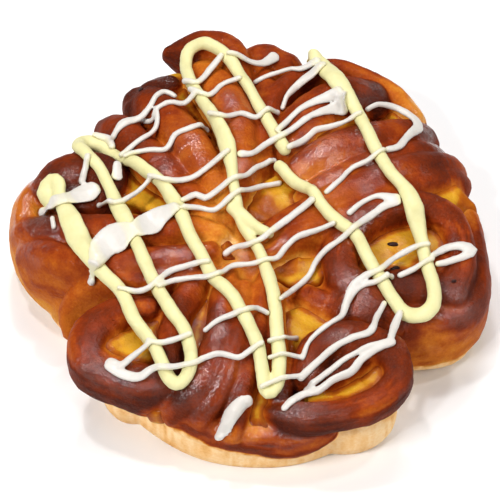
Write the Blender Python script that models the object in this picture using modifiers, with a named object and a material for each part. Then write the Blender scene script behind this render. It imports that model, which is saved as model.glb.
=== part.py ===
"""Sweet twist bread: a flat rosette of custard-filled dough, egg washed, baked and piped with icing.

The dough is one solid. Folded strips of dough ("strands") run from the hub out to the rim, where
some of them curl into coils. Each strand is a curve with an oval section, and a voxel remesh fuses
them all. Custard fills the pockets between the folds: each filling is a solid of its own. Two kinds
of icing are piped over the top and fused to the dough: a thick yellow one in long zigzags, and a
white one that crosses it in strokes and puddles. Only the widest white strokes are made here.

Lengths in the tables are millimetres, measured from the hub of the rosette, with +Z up.
"""

import math

import bmesh
import bpy
import numpy as np
from mathutils import Vector
from mathutils.bvhtree import BVHTree

MM = 0.001

# Dough
BASE_TOP = 15.0  # top of the pale slab that the folds sit on
BASE_BOTTOM = -2.0  # its underside, which the floor cuts off flat
BASE_EDGE = 5.0  # rounding of its rim
FLOOR_BLOCK = 200.0  # side of the block that cuts it off
DOUGH_SQUARENESS = 0.72  # of the upper half of a strand's section, where 0.55 is an ellipse
COIL_SQUARENESS = 0.88
LOWER_SQUARENESS = 0.62
COILS = {"coil_c", "coil_d", "coil_e", "coil_f"}  # strands with a flat top
DOUGH_STEP = 2.5  # spacing of the sections along a strand
DOUGH_SIDES = 20
DOUGH_VOXEL = 1.2  # fineness of the fused dough
DOUGH_SMOOTHING = 2
DOUGH_TRIANGLES = 2700  # left after thinning out

# Custard
POCKET_GAP = 0.35  # clearance between custard and dough
CUSTARD_STEP = 6.0
CUSTARD_SIDES = 8
CUSTARD_SQUARENESS = 0.95

# Icing
YELLOW_ICING = (3.8, 3.1, 0.9)  # width, thickness, depth sunk in the dough
WHITE_ICING = (2.1, 1.6, 0.5)
YELLOW_TRIANGLES = 2300
WHITE_TRIANGLES = 1200
ICING_STEP = 3.0
ICING_SIDES = 8
ICING_VOXEL = 0.45
ICING_SMOOTHING = 1
CUSTARD_CLEAR = 0.6  # height of the icing's underside above the custard
RAIL = 0.6  # a stroke's tilt and bow are read this far out, in half widths
TOUCH = 0.35  # and it rests on all that lies this near, in widths
SAG = 0.27  # how far one section may hang below the line of its neighbours
STEEPEST = 1.6  # most that a stroke's section is raised and thickened for the steepness under it
HANG_PASSES = 40

# Rounding of the ends of strips: reach past the end in half widths, section scale
DOUGH_NOSE = [(0.45, 0.89), (0.8, 0.6), (0.97, 0.25)]
CUSTARD_NOSE = [(0.7, 0.6)]
ICING_NOSE = (0.8, 0.5)
WIDEST_NOSE = 1.6  # a puddle's nose is no longer than that of a stroke of this scale

# Outline of the pale slab: radius at every 30 degrees from +X
BASE_CENTRE = (0.0, 4.0)
BASE_RADII = [54, 54, 56, 60, 58, 57, 56, 46.5, 52.5, 57, 56, 50]

# Domes of dough that fill the space under the folds and the coils: centre, radii
CORES = {
    "core": ((0, 8, 8), (50, 48, 19)),
    "core_right_coil": ((41, -2, 8), (17, 16, 15)),
    "core_front_right_coil": ((25, -40, 8), (14, 10, 13)),
    "core_front_left_coil": ((-30, -31, 8), (9, 9, 13)),
    "core_left_coil": ((-45, 24, 8), (12, 8, 17)),
    "core_top": ((-8, 58, 8), (18, 14, 18)),
}

# Strands: section width and height, then points of the crest line (x, y, crest height, section scale)
STRANDS = {
    # top petal
    "tongue": (15, 24, [(-12, 64, 30, 0.85), (-7, 53, 34, 1.0), (-3, 41, 35, 0.9), (-2, 30, 35, 0.7),
                        (-3, 21, 33, 0.55), (-4, 12, 31, 0.45)]),
    "horn": (10, 20, [(-23, 75, 27, 0.35), (-19, 75, 30, 0.7), (-12, 74, 33, 1.0), (-5, 70, 34, 1.0),
                      (-2, 61, 31, 0.8)]),
    "top_bump": (12, 22, [(-1, 70, 28, 0.85), (5, 71, 30, 1.0), (11, 69, 29, 0.85)]),
    "tongue_side": (9, 22, [(5, 64, 29, 0.8), (4, 46, 32, 1.0), (3, 33, 32, 0.9), (0, 21, 31, 0.7)]),
    # upper right coil
    "coil_b_outer": (9, 24, [(4, 26, 31, 0.6), (5, 34, 31, 0.8), (5, 44, 32, 0.9), (8, 54, 32, 1.0),
                             (15, 62, 31, 1.0), (23, 65, 31, 1.0), (33, 63, 29, 1.0), (41, 58, 27, 1.0),
                             (47, 52, 24, 0.8)]),
    "coil_b_tongue": (16, 22, [(12, 36, 32, 0.8), (15, 42, 34, 1.0), (20, 48, 34, 1.0),
                               (27, 53, 34, 0.95), (33, 55, 31, 0.8)]),
    "ridge_a": (13, 20, [(14, 26, 32, 0.9), (22, 31, 34, 1.0), (33, 37, 33, 1.0), (43, 43, 28, 0.9),
                         (47, 45, 24, 0.8)]),
    "ridge_b": (10, 18, [(15, 17, 31, 0.7), (26, 23, 33, 0.9), (37, 30, 32, 1.0), (47, 36, 27, 1.0),
                         (51, 38, 22, 0.8)]),
    # right petal
    "ridge_c": (11, 20, [(4, 4, 30, 0.7), (14, 9, 33, 0.9), (26, 16, 34, 1.0), (40, 25, 33, 1.0),
                         (51, 31, 28, 0.9), (54, 33, 22, 0.8)]),
    "ridge_e": (10, 20, [(5, -3, 30, 0.7), (15, 4, 32, 0.9), (26, 9, 33, 0.9), (40, 18, 32, 1.0),
                         (50, 25.5, 29, 1.0), (55, 28, 23.5, 0.9)]),
    "coil_c": (12, 24, [(37, -17, 26, 0.7), (31, -15, 29, 0.85), (25.5, -10, 30, 0.9), (24, -3, 31, 0.9),
                        (27, 5, 32, 0.95), (34, 11, 33, 0.9), (43, 13, 33, 0.85), (50.5, 11.5, 32, 0.8),
                        (55.5, 6, 30.5, 0.75), (56.5, -4, 30, 0.7), (54.5, -11, 28, 0.8)]),
    "coil_c_tongue": (8, 16, [(54, -4, 29.5, 0.9), (50, -5, 29, 1.0), (46, -6.5, 28, 0.8)]),
    "coil_c_front": (11, 14, [(31, -11.5, 29, 0.8), (38, -11, 28.5, 1.0), (46, -12, 28, 1.0),
                              (52, -12, 27.5, 0.8)]),
    "right_wrap": (8, 21, [(56, 26, 23, 0.8), (60, 15, 23, 0.9), (61, 4, 23, 1.0), (61, -7, 23, 1.0),
                           (58, -14, 23, 1.0), (53, -18, 23, 1.0), (46, -19, 24, 1.0), (39, -20, 26, 1.1),
                           (32, -20, 28, 1.4), (25, -18.5, 29.5, 1.7), (17, -15, 30, 1.5),
                           (11, -12, 30, 1.0)]),
    "right_foot": (12, 16, [(57, -9, 17, 0.9), (54, -15, 16, 1.0), (47, -18, 17, 1.0), (38, -19, 18, 1.0)]),
    # lower right coil
    "coil_d": (9.5, 12.5, [(8, -48, 22, 0.8), (12, -50.5, 24, 0.75), (19, -51.3, 25, 0.72),
                         (27, -50, 25.5, 0.75), (34.5, -46.5, 26.5, 0.8), (38.5, -40.5, 27.5, 0.85),
                         (37, -34, 29, 1.0), (30, -31, 30, 1.1), (23, -30.5, 30, 1.1),
                         (17.5, -33.5, 29, 1.05), (15, -39.5, 27, 0.8)]),
    "coil_d_tongue": (7, 16, [(33, -34.5, 29, 0.8), (27, -37.5, 28.5, 1.0), (21, -41.5, 27, 0.9)]),
    # lower middle folds
    "fold_1": (9, 20, [(-9, -8, 30, 0.7), (-14, -14, 31, 0.9), (-18, -22, 31, 1.0), (-20, -31, 30, 1.0),
                       (-20, -38, 27, 0.8)]),
    "fold_2": (10, 19, [(-5, -8, 30, 0.6), (-6, -19, 32, 0.9), (-7, -29, 32, 1.0), (-9, -37, 31, 1.1),
                        (-13, -43, 27, 1.05), (-18, -45.5, 21, 0.75)]),
    "fold_2_side": (8, 18, [(-1, -14, 31, 0.7), (-2, -28, 32, 0.9), (-4, -36, 31, 1.0), (-7, -43, 27, 1.0),
                            (-11, -48, 20.5, 0.75)]),
    "fold_3": (7, 18, [(4, -10, 30, 0.7), (3, -22, 31, 0.9), (1, -33, 30, 1.0), (-1, -42, 26, 1.0),
                       (-3, -49, 20, 1.0)]),
    "fold_3_side": (8, 20, [(7, -14, 30, 0.7), (7, -26, 29, 0.9), (8, -37, 27, 0.9), (8, -46, 22, 0.8)]),
    "front_wrap": (9, 11, [(-25, -41, 19, 0.7), (-14, -47, 18, 0.85), (-2, -50, 17, 1.0),
                           (12, -51, 17, 1.0), (20, -49.5, 17.5, 0.75)]),
    # lower left coil
    "coil_e": (10.5, 14, [(-26, -20.5, 30, 0.7), (-31, -21, 30, 0.9), (-37, -23.5, 29, 1.0),
                          (-41.3, -28.5, 28.5, 1.0), (-41.3, -34, 27.5, 1.0), (-37, -37.5, 26.5, 1.0),
                          (-31, -40, 26, 1.0), (-25, -41.5, 26, 1.05), (-21, -41.5, 25.5, 0.85)]),
    # left petals
    "ridge_s": (8, 18, [(-45, -12, 16, 0.8), (-44, -11, 20, 0.9), (-40, -10, 26, 1.0), (-34, -10, 29, 1.0),
                        (-24, -11, 30, 0.9), (-13, -9, 30, 0.7)]),
    "left_b": (11, 22, [(-57, 4, 23, 0.9), (-52, 0, 27, 1.0), (-44, -4, 30, 1.0), (-31, -6, 32, 1.0),
                        (-20, -5, 32, 0.9), (-9, -2, 31, 0.6)]),
    "left_a": (12, 22, [(-59, 12, 23, 0.8), (-49, 9, 28, 0.9), (-39, 6, 31, 1.0), (-28, 5, 32, 1.0),
                        (-16, 6, 32, 0.9), (-7, 4, 31, 0.6)]),
    "left_wrap": (10, 22, [(-54, 31, 23, 0.7), (-60, 22, 23, 0.9), (-60, 12, 22, 1.0), (-55, 4, 21, 1.0),
                           (-49, -2, 19, 0.9), (-45, -7, 15, 0.7)]),
    "coil_f": (12, 20, [(-55, 24.5, 26, 0.8), (-51.5, 27, 28.5, 1.0), (-45, 28.5, 30, 1.0),
                        (-39.5, 27, 30.5, 1.0), (-38, 23.5, 29.5, 0.9), (-42, 19.5, 27.5, 0.9),
                        (-49, 18.5, 26, 0.8)]),
    # upper left folds
    "fold_4": (12, 20, [(-38, 47, 25, 0.8), (-34, 42, 30, 1.0), (-29, 35, 30, 1.0), (-24, 28, 32, 1.0),
                        (-18, 20, 32, 0.9), (-10, 11, 31, 0.6)]),
    "fold_4_side": (9, 18, [(-50, 36, 21, 0.8), (-44, 40, 23, 1.0), (-37, 44, 24, 1.0), (-33, 47, 24, 0.8)]),
    "fold_5": (13, 22, [(-31, 58, 26, 0.7), (-27, 54, 30, 1.0), (-21, 45, 32, 1.0), (-15, 33, 34, 1.0),
                        (-10, 23, 33, 0.9), (-6, 13, 31, 0.5)]),
    "fold_5_nub": (9, 16, [(-32, 55, 26, 0.7), (-27, 59, 28, 0.9), (-22, 62, 27, 0.8)]),
}

# Custard: pocket width and depth, then points of its crest line (x, y, crest height, section scale)
CUSTARDS = {
    "custard_right_coil": (17, 12, [(29.5, -2, 26.5, 0.8), (36, 0.5, 27, 1.0), (44, 2.5, 27.5, 1.0),
                                    (51, 4.5, 28, 0.8)]),
    "custard_right_end": (12, 12, [(43, -16.5, 23, 0.7), (48, -15.5, 23.5, 1.0), (54, -13.5, 23.5, 0.6)]),
    "custard_right_back": (14, 12, [(49, 19.5, 27.5, 0.7), (53, 19.5, 26, 1.0), (57, 17, 24, 0.8)]),
    "custard_hub_right": (11, 12, [(8, -6, 27, 0.7), (14, -7, 28, 1.0), (19, -6, 28, 0.7)]),
    "custard_hub_back": (14, 12, [(3, 12.5, 28, 0.6), (7, 17.5, 29, 1.0), (12, 22.5, 29.5, 0.8)]),
    "custard_hub_left": (8, 12, [(-12, 1, 29.5, 0.6), (-8, 0, 29.5, 1.0), (-4, -1, 27.5, 0.7)]),
    "custard_back_coil": (12, 12, [(19, 37, 31.5, 0.7), (25, 42, 31.5, 1.0), (30, 46, 29.5, 0.7)]),
    "custard_back_end": (14, 12, [(35, 56, 25.5, 0.7), (40, 55, 24.5, 1.0), (45, 49, 22.5, 0.8)]),
    "custard_front_right_coil": (13, 12, [(19, -45.5, 24, 0.75), (26, -45, 24.5, 1.0), (32, -42, 25, 1.0),
                                          (34, -38, 25.5, 0.7)]),
    "custard_front_right_gap": (15, 12, [(25, -25, 25, 0.7), (18, -24, 25.5, 1.0), (12.5, -26, 25.5, 1.0),
                                         (11, -31, 24, 0.8), (11, -36, 23.5, 0.6)]),
    "custard_front_gap": (8, 12, [(4, -38, 24.5, 0.6), (3, -44, 22, 1.0), (3, -49, 18, 0.8)]),
    "custard_front_left_gap": (12, 12, [(-9, -14, 27.5, 0.5), (-12, -21, 27, 0.9), (-13, -28, 25.5, 1.0),
                                        (-14, -34, 24, 1.0), (-17, -40, 22.5, 0.9), (-23, -43, 19.5, 0.8)]),
    "custard_front_left_coil": (16, 12, [(-34.5, -32, 26, 0.8), (-31.5, -31, 26, 0.95),
                                         (-27.5, -29, 26.2, 0.75), (-24.5, -24, 26.5, 0.45),
                                         (-22, -18, 27, 0.4)]),
    "custard_left_end": (11, 12, [(-58, 19, 21.5, 0.8), (-55, 20, 22.5, 1.0), (-52, 22, 23, 0.8)]),
    "custard_left_back": (15, 12, [(-34.5, 28.5, 25.5, 0.8), (-29.5, 23.5, 26.5, 1.0), (-24, 17.5, 27.5, 0.7)]),
    "custard_top_gap": (13, 14, [(-22, 64, 24.5, 0.9), (-17, 55, 26.5, 0.9), (-13, 46, 28, 0.8),
                                 (-10, 37, 28, 0.5)]),
}

# Thick yellow icing: centre lines seen from above, as points (x, y, width scale)
YELLOW_LINES = [
    [(-53.5, 18, 1), (-55.5, 20.5, 1), (-54, 23, 1), (-51.5, 22, 1), (-51, 18, 1), (-49.5, 13.5, 1.2),
     (-46.5, 5, 1.7), (-43.5, -2.5, 1.6), (-40, -9, 1.1), (-34, -15.5, 1), (-30, -25, 1), (-26, -31, 1),
     (-22.5, -38, 1), (-20.5, -42.5, 1), (-18, -45.5, 1), (-15.5, -43.5, 1), (-14.5, -39, 1), (-16, -31, 1),
     (-20, -24.5, 1), (-24, -15.5, 1), (-27, -9.5, 1), (-30, -1, 1), (-33.5, 7.5, 1.3), (-37, 18, 0.95),
     (-40, 24.5, 0.9), (-43.5, 29.5, 1), (-46.5, 34.5, 1), (-45, 38.5, 1.2), (-41, 38.5, 1.2), (-38, 35.5, 1),
     (-33.5, 30.5, 1), (-27.5, 23.5, 1.1), (-23, 18.5, 1), (-19.5, 12.5, 1.2), (-17, 5, 1),
     (-14.5, -1.5, 1), (-11.5, -7.5, 1), (-8.5, -14.5, 1), (-4.5, -20, 1), (-2, -25, 1), (0.5, -30.5, 1),
     (2.5, -35, 1), (3.5, -40.5, 1), (5, -47, 1.1), (7.5, -44, 1), (8, -38, 1), (7.5, -29.5, 1),
     (7, -21.5, 1), (5.5, -13, 1), (3.5, -5, 0.8), (0.5, 2, 0.8), (-2, 7, 0.8), (-3, 12, 0.8),
     (-4, 17.5, 0.7), (-4.5, 23, 0.8), (-6, 31, 1.1), (-9, 40, 1), (-12.5, 48, 0.9), (-15, 54, 1),
     (-17, 60.5, 1), (-17.5, 65.5, 1), (-16.5, 69.5, 1), (-12.5, 70, 1), (-8.5, 67.5, 1), (-5, 63.5, 1),
     (-2, 58, 1), (1, 50.5, 1), (4.5, 43, 1), (7.5, 36.5, 1), (10, 31.5, 1)],
    [(8.5, 25.5, 0.9), (11.5, 21, 0.9), (16.5, 15.5, 0.9), (19.5, 9.5, 0.9), (23.5, 4.5, 1), (27.5, 1.5, 1),
     (30.5, -3, 1), (33, -8.5, 1), (36, -14.5, 1), (38.5, -18.5, 1), (41, -21.5, 1.2), (45.5, -21.5, 1.2),
     (48.5, -18.5, 1.1), (48.5, -13.5, 1), (47, -6.5, 1), (46, 1, 1), (44.5, 7.5, 1.4), (43, 13, 1.3),
     (40.5, 18, 1), (37.5, 22, 1), (35, 29, 1), (32.5, 35.5, 1), (30, 43.5, 1), (28, 48.5, 1.1),
     (25, 53.5, 1.5), (21.5, 61.5, 1.4), (19, 66, 1.1), (18.5, 70, 0.7)],
    [(-4, 10.5, 1.1), (-1, 7.5, 1.1), (2.5, 4, 0.9), (5.5, 2, 0.8)],
]

# White icing, in the same form
WHITE_LINES = [
    [(-5.5, 64.5, 1), (0.5, 64, 1), (4, 65, 1.4), (7.5, 68.5, 2)],
    [(-2, 27, 1.4), (1, 27.5, 1), (4.5, 31.5, 1), (8, 34, 1), (12, 37, 1), (15.5, 40.5, 1), (19, 42.5, 1.3),
     (23.5, 45, 2)],
    [(-35.5, 27, 1.4), (-35.5, 23, 2)],
    [(-35.5, -38, 2.2), (-32.5, -39, 1.4), (-29.5, -37, 1), (-25.5, -35, 1)],
    [(-35.5, -38.5, 2.2), (-32.5, -41, 1.8), (-28, -42.5, 1.6), (-24, -41, 1.2), (-18.5, -42, 1),
     (-14, -42, 1), (-11, -40, 1), (-6.5, -38.5, 1), (-2.5, -39.5, 1), (0.5, -37.5, 1), (3.5, -35.5, 1)],
    [(-7.2, -54, 2), (-6.3, -52.8, 2.6), (-4.8, -51.4, 2.7), (-2.5, -49.8, 2.6), (0, -48, 2)],
    [(9.3, -50.4, 1.2), (11, -48.4, 1.4), (14.5, -46, 1.3), (18, -45.5, 1.3), (22, -43.5, 1.2),
     (26.5, -41.5, 1.4), (29, -38.5, 1.3), (32.5, -36, 1.1), (37, -33.5, 1.2)],
    [(8.5, -21, 0.8), (12.5, -14.5, 0.9), (16, -10, 0.9), (18, -6, 0.9), (21.5, -3, 1), (26.5, 0, 1.1),
     (31, 5, 1.2), (35.5, 9, 1.4), (39.5, 11.5, 2.2)],
    [(27, 7.5, 1), (30.5, 11, 1), (34.5, 13, 1.2), (39.5, 12, 2)],
    [(48.5, -5.5, 0.9), (52.5, -2.5, 1.4), (56.5, -2, 1.8), (59, -3.5, 2), (56.5, -5.5, 1.3),
     (53, -6.5, 1.2), (50, -7, 1)],
    [(9.5, 48, 0.8), (11, 52.5, 1), (14.5, 57, 1.4), (18.5, 59.5, 1.8), (20.5, 61.5, 1.6)],
    [(33, 48, 0.9), (37, 50.5, 1), (41.5, 51, 1.2), (45.5, 48, 1.6), (47, 43.5, 2), (44, 38.5, 1.4),
     (41, 32.5, 1.3), (38, 30.5, 1.2)],
    [(-55, 15.5, 1.2), (-52, 14.5, 1.5), (-48, 15, 2.2), (-44, 17.5, 3), (-41.5, 19.5, 2)],
    [(-41, -11.5, 1.6), (-39.5, -8.5, 3), (-38, -4, 5), (-34.5, -1, 6.5), (-30, 1, 3)],
    [(-29.5, 0.5, 3), (-26.5, 3.5, 5.5), (-23.5, 6.5, 4.5), (-19.5, 8.5, 2.6)],
    [(25.5, 48, 2.2), (26.5, 45, 3.2)],
]


def clear_scene():
    for obj in list(bpy.data.objects):
        bpy.data.objects.remove(obj)


def new_collection(name):
    made = bpy.data.collections.new(name)
    bpy.context.scene.collection.children.link(made)
    return made


def material(name, colour, roughness):
    made = bpy.data.materials.new(name)
    made.use_nodes = True
    shader = made.node_tree.nodes["Principled BSDF"]
    shader.inputs["Base Color"].default_value = (*colour, 1.0)
    shader.inputs["Roughness"].default_value = roughness
    made.diffuse_color = (*colour, 1.0)
    return made


def mesh_object(name, shape, collection):
    """An object that holds the bmesh, in triangles. The bmesh is used up."""
    bmesh.ops.triangulate(shape, faces=shape.faces)
    mesh = bpy.data.meshes.new(name)
    shape.to_mesh(mesh)
    shape.free()
    made = bpy.data.objects.new(name, mesh)
    collection.objects.link(made)
    return made


def curve_to_mesh(curve):
    """Replaces a curve object by a mesh object of the same name, with its caps welded."""
    name = curve.name
    collection = curve.users_collection[0]
    bpy.context.view_layer.update()
    graph = bpy.context.evaluated_depsgraph_get()
    mesh = bpy.data.meshes.new_from_object(curve.evaluated_get(graph))
    mesh.transform(curve.matrix_world)
    shape = bmesh.new()
    shape.from_mesh(mesh)
    bpy.data.objects.remove(curve)
    bpy.data.meshes.remove(mesh)
    bmesh.ops.remove_doubles(shape, verts=shape.verts, dist=0.001 * MM)
    bmesh.ops.recalc_face_normals(shape, faces=shape.faces)
    return mesh_object(name, shape, collection)


def apply_modifiers(obj):
    graph = bpy.context.evaluated_depsgraph_get()
    mesh = bpy.data.meshes.new_from_object(obj.evaluated_get(graph))
    obj.modifiers.clear()
    obj.data = mesh


def smooth_path(points, step):
    """Points about `step` apart on the smooth curve (Catmull-Rom) that runs through `points`."""
    points = np.array(points, float)
    padded = np.vstack([2 * points[0] - points[1], points, 2 * points[-1] - points[-2]])
    path = []
    for i in range(len(points) - 1):
        a, b, c, d = padded[i:i + 4]
        count = max(1, round(np.linalg.norm((c - b)[:3]) / step))
        for t in np.arange(count) / count:
            path.append(0.5 * (2 * b + (c - a) * t + (2 * a - 5 * b + 4 * c - d) * t**2
                               + (3 * b - a - 3 * c + d) * t**3))
    path.append(points[-1])
    return np.array(path)


def rounded_ends(path, half_width, nose):
    """Adds shrinking sections past both ends of a path, so that the sweep closes in a round nose."""
    ends = []
    for end, inner in ((path[0], path[1]), (path[-1], path[-2])):
        along = (end - inner)[:3]
        along /= np.linalg.norm(along)
        extra = []
        for reach, size in nose:
            extra.append([*(end[:3] + along * reach * half_width * end[3]), end[3] * size])
        ends.append(extra)
    return np.vstack([ends[0][::-1], path, ends[1]])


def oval_profile(width, height, sides, squareness):
    """A closed squarish oval for a curve's bevel: its X is across the path and its Y is up.

    The squareness is that of its upper half; the lower half is rounder.
    """
    data = bpy.data.curves.new("oval", "CURVE")
    data.dimensions = "2D"
    data.resolution_u = sides // 4
    spline = data.splines.new("BEZIER")
    spline.bezier_points.add(3)
    half_w, half_h = width / 2 * MM, height / 2 * MM
    upper, lower = squareness, min(squareness, LOWER_SQUARENESS)
    # Each corner: its place, then its handles
    corners = [
        ((half_w, 0), (half_w, -lower * half_h), (half_w, upper * half_h)),
        ((0, half_h), (upper * half_w, half_h), (-upper * half_w, half_h)),
        ((-half_w, 0), (-half_w, upper * half_h), (-half_w, -lower * half_h)),
        ((0, -half_h), (-lower * half_w, -half_h), (lower * half_w, -half_h)),
    ]
    for point, (place, before, after) in zip(spline.bezier_points, corners):
        point.co = (*place, 0)
        point.handle_left = (*before, 0)
        point.handle_right = (*after, 0)
    spline.use_cyclic_u = True
    return bpy.data.objects.new("oval", data)


def swept_strip(name, width, height, path, sides, nose, squareness, collection):
    """A closed solid: an oval section swept along centre points (x, y, z, section scale)."""
    profile = oval_profile(width, height, sides, squareness)
    data = bpy.data.curves.new(name, "CURVE")
    data.dimensions = "3D"
    data.twist_mode = "Z_UP"
    data.bevel_mode = "OBJECT"
    data.bevel_object = profile
    data.use_fill_caps = True
    path = rounded_ends(path, width / 2, nose)
    spline = data.splines.new("POLY")
    spline.points.add(len(path) - 1)
    for point, (x, y, z, scale) in zip(spline.points, path):
        point.co = (x * MM, y * MM, z * MM, 1.0)
        point.radius = scale
    curve = bpy.data.objects.new(name, data)
    collection.objects.link(curve)
    made = curve_to_mesh(curve)
    bpy.data.objects.remove(profile)
    return made


def under_crest(points, step, height):
    """The centre line of a strip of this height that has its top on the crest line."""
    path = smooth_path(points, step)
    path[:, 2] -= path[:, 3] * height / 2
    return path


def strand(name, width, height, points, collection):
    """A strip of dough."""
    path = under_crest(points, DOUGH_STEP, height)
    squareness = COIL_SQUARENESS if name in COILS else DOUGH_SQUARENESS
    return swept_strip(name, width, height, path, DOUGH_SIDES, DOUGH_NOSE, squareness, collection)


def filling_strip(name, width, height, points, grow, collection):
    """A strip of custard, or the slightly larger pocket that holds it."""
    path = under_crest(points, CUSTARD_STEP, height)
    width += 2 * grow
    height += 2 * grow
    return swept_strip(name, width, height, path, CUSTARD_SIDES, CUSTARD_NOSE, CUSTARD_SQUARENESS,
                       collection)


def dome(name, centre, radii, collection):
    shape = bmesh.new()
    bmesh.ops.create_uvsphere(shape, u_segments=48, v_segments=24, radius=1.0)
    for vert in shape.verts:
        vert.co = Vector(c + r * v for c, r, v in zip(centre, radii, vert.co)) * MM
    return mesh_object(name, shape, collection)


def base_slab(collection):
    """The pale underside: a puffy slab inside a smooth closed outline."""
    data = bpy.data.curves.new("base", "CURVE")
    data.dimensions = "2D"
    data.fill_mode = "BOTH"
    data.resolution_u = 6
    data.extrude = (BASE_TOP - BASE_BOTTOM) / 2 * MM - BASE_EDGE * MM
    data.bevel_depth = BASE_EDGE * MM
    data.bevel_resolution = 3
    spline = data.splines.new("BEZIER")
    spline.bezier_points.add(len(BASE_RADII) - 1)
    for i, (point, radius) in enumerate(zip(spline.bezier_points, BASE_RADII)):
        angle = math.tau * i / len(BASE_RADII)
        x = BASE_CENTRE[0] + (radius - BASE_EDGE) * math.cos(angle)
        y = BASE_CENTRE[1] + (radius - BASE_EDGE) * math.sin(angle)
        point.co = (x * MM, y * MM, 0)
        point.handle_left_type = "AUTO"
        point.handle_right_type = "AUTO"
    spline.use_cyclic_u = True
    curve = bpy.data.objects.new("base", data)
    curve.location.z = (BASE_TOP + BASE_BOTTOM) / 2 * MM
    collection.objects.link(curve)
    return curve_to_mesh(curve)


def merged(name, pieces, collection):
    """One object from several, which still overlap in it."""
    shape = bmesh.new()
    for piece in pieces:
        shape.from_mesh(piece.data)
        bpy.data.objects.remove(piece)
    return mesh_object(name, shape, collection)


def fused(name, pieces, voxel, smoothing, triangles, collection):
    """One closed skin round overlapping solids, thinned out. The solids are used up."""
    obj = merged(name, pieces, collection)
    skin = obj.modifiers.new("Remesh", "REMESH")
    skin.mode = "VOXEL"
    skin.voxel_size = voxel * MM
    soften = obj.modifiers.new("Smooth", "SMOOTH")
    soften.factor = 0.5
    soften.iterations = smoothing
    apply_modifiers(obj)
    thin = obj.modifiers.new("Decimate", "DECIMATE")
    thin.ratio = triangles / (2 * len(obj.data.polygons))
    thin.use_collapse_triangulate = True
    apply_modifiers(obj)
    return obj


def boolean(target, tools, operation):
    """Joins several closed solids to `target`, or cuts them from it, and removes them."""
    cutters = new_collection("tools")
    for tool in tools:
        tool.users_collection[0].objects.unlink(tool)
        cutters.objects.link(tool)
    join = target.modifiers.new("Boolean", "BOOLEAN")
    join.operation = operation
    join.solver = "MANIFOLD"
    join.material_mode = "TRANSFER"
    join.operand_type = "COLLECTION"
    join.collection = cutters
    apply_modifiers(target)
    for tool in tools:
        bpy.data.objects.remove(tool)
    bpy.data.collections.remove(cutters)


def cut_flat(obj, collection):
    """Cuts the solid off at the floor, which gives it one flat face to rest on."""
    shape = bmesh.new()
    bmesh.ops.create_cube(shape, size=FLOOR_BLOCK * MM)
    bmesh.ops.translate(shape, verts=shape.verts, vec=(0, 0, -FLOOR_BLOCK / 2 * MM))
    boolean(obj, [mesh_object("floor", shape, collection)], "DIFFERENCE")


def connected_verts(start):
    found = {start}
    stack = [start]
    while stack:
        for edge in stack.pop().link_edges:
            for vert in edge.verts:
                if vert not in found:
                    found.add(vert)
                    stack.append(vert)
    return found


def keep_main_body(obj):
    """Fills the small sealed hollows that joining leaves, by dropping all but the largest skin."""
    shape = bmesh.new()
    shape.from_mesh(obj.data)
    left = set(shape.verts)
    skins = []
    while left:
        skins.append(connected_verts(next(iter(left))))
        left -= skins[-1]
    skins.sort(key=len)
    for skin in skins[:-1]:
        bmesh.ops.delete(shape, geom=list(skin), context="VERTS")
    shape.to_mesh(obj.data)
    shape.free()


def surface_of(objects):
    """A search tree over the faces of several solids."""
    verts, faces = [], []
    for obj in objects:
        first = len(verts)
        verts.extend(vert.co.copy() for vert in obj.data.vertices)
        faces.extend([first + i for i in face.vertices] for face in obj.data.polygons)
    return BVHTree.FromPolygons(verts, faces)


def height_at(surface, x, y):
    """Height of a surface above the floor at a point seen from above."""
    hit = surface.ray_cast(Vector((x * MM, y * MM, 1.0)), Vector((0, 0, -1)))[0]
    return hit.z / MM if hit else 0.0


def resting_height(grounds, x, y, reach):
    """Lowest that an icing's underside may lie over its grounds, (surface, lift) pairs, near a point."""
    heights = []
    for dx, dy in ((0, 0), (reach, 0), (-reach, 0), (0, reach), (0, -reach)):
        for surface, lift in grounds:
            heights.append(height_at(surface, x + dx, y + dy) + lift)
    return max(heights)


def hang(heights):
    """Lifts a line of heights so that it spans hollows like a slack cord."""
    for _ in range(HANG_PASSES):
        middle = (heights[:-2] + heights[2:]) / 2 - SAG
        heights[1:-1] = np.maximum(heights[1:-1], middle)
    return heights


def directions(path):
    """Unit vectors along a path, seen from above."""
    along = np.gradient(path[:, :2], axis=0)
    return along / np.linalg.norm(along, axis=1)[:, None]


def icing_line(name, points, style, grounds, collection):
    """One stroke of icing draped over the grounds: its sections tilt and bow to lie on them."""
    width, thickness, _ = style
    path = smooth_path([(x, y, 0, scale) for x, y, scale in points], ICING_STEP)
    along = directions(path)
    half = path[:, 3] * width / 2
    rails = []
    for side in (-RAIL, 0.0, RAIL):
        x = path[:, 0] - along[:, 1] * half * side
        y = path[:, 1] + along[:, 0] * half * side
        heights = [resting_height(grounds, a, b, TOUCH * width) for a, b in zip(x, y)]
        rails.append(hang(np.array(heights)))
    right, middle, left = rails
    tilt = (left - right) / (2 * RAIL * half)
    steep = np.minimum(np.hypot(1.0, np.gradient(middle) / ICING_STEP), STEEPEST)
    path[:, 2] = middle + thickness / 2 * np.minimum(steep * np.hypot(1.0, tilt), STEEPEST)
    bow = ((left + right) / 2 - middle) / (RAIL * half) ** 2
    bow[half <= width] = 0.0  # only a puddle bows
    sections = []
    for point, direction, height, slope, bend in zip(path, along, steep, tilt, bow):
        sections.append((point[:3], direction, point[3], height, slope, bend))
    first = icing_end(sections[0], -1, width)
    last = icing_end(sections[-1], 1, width)
    return icing_strip(name, width, thickness, [first, *sections, last], collection)


def icing_end(section, side, width):
    """A smaller section just past an end section, for a round nose."""
    centre, direction, scale, height, slope, bend = section
    reach, size = ICING_NOSE
    shift = side * reach * min(scale, WIDEST_NOSE) * width / 2
    moved = centre + shift * np.array([*direction, 0.0])
    return moved, direction, scale * size, height * size, slope, bend


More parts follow.
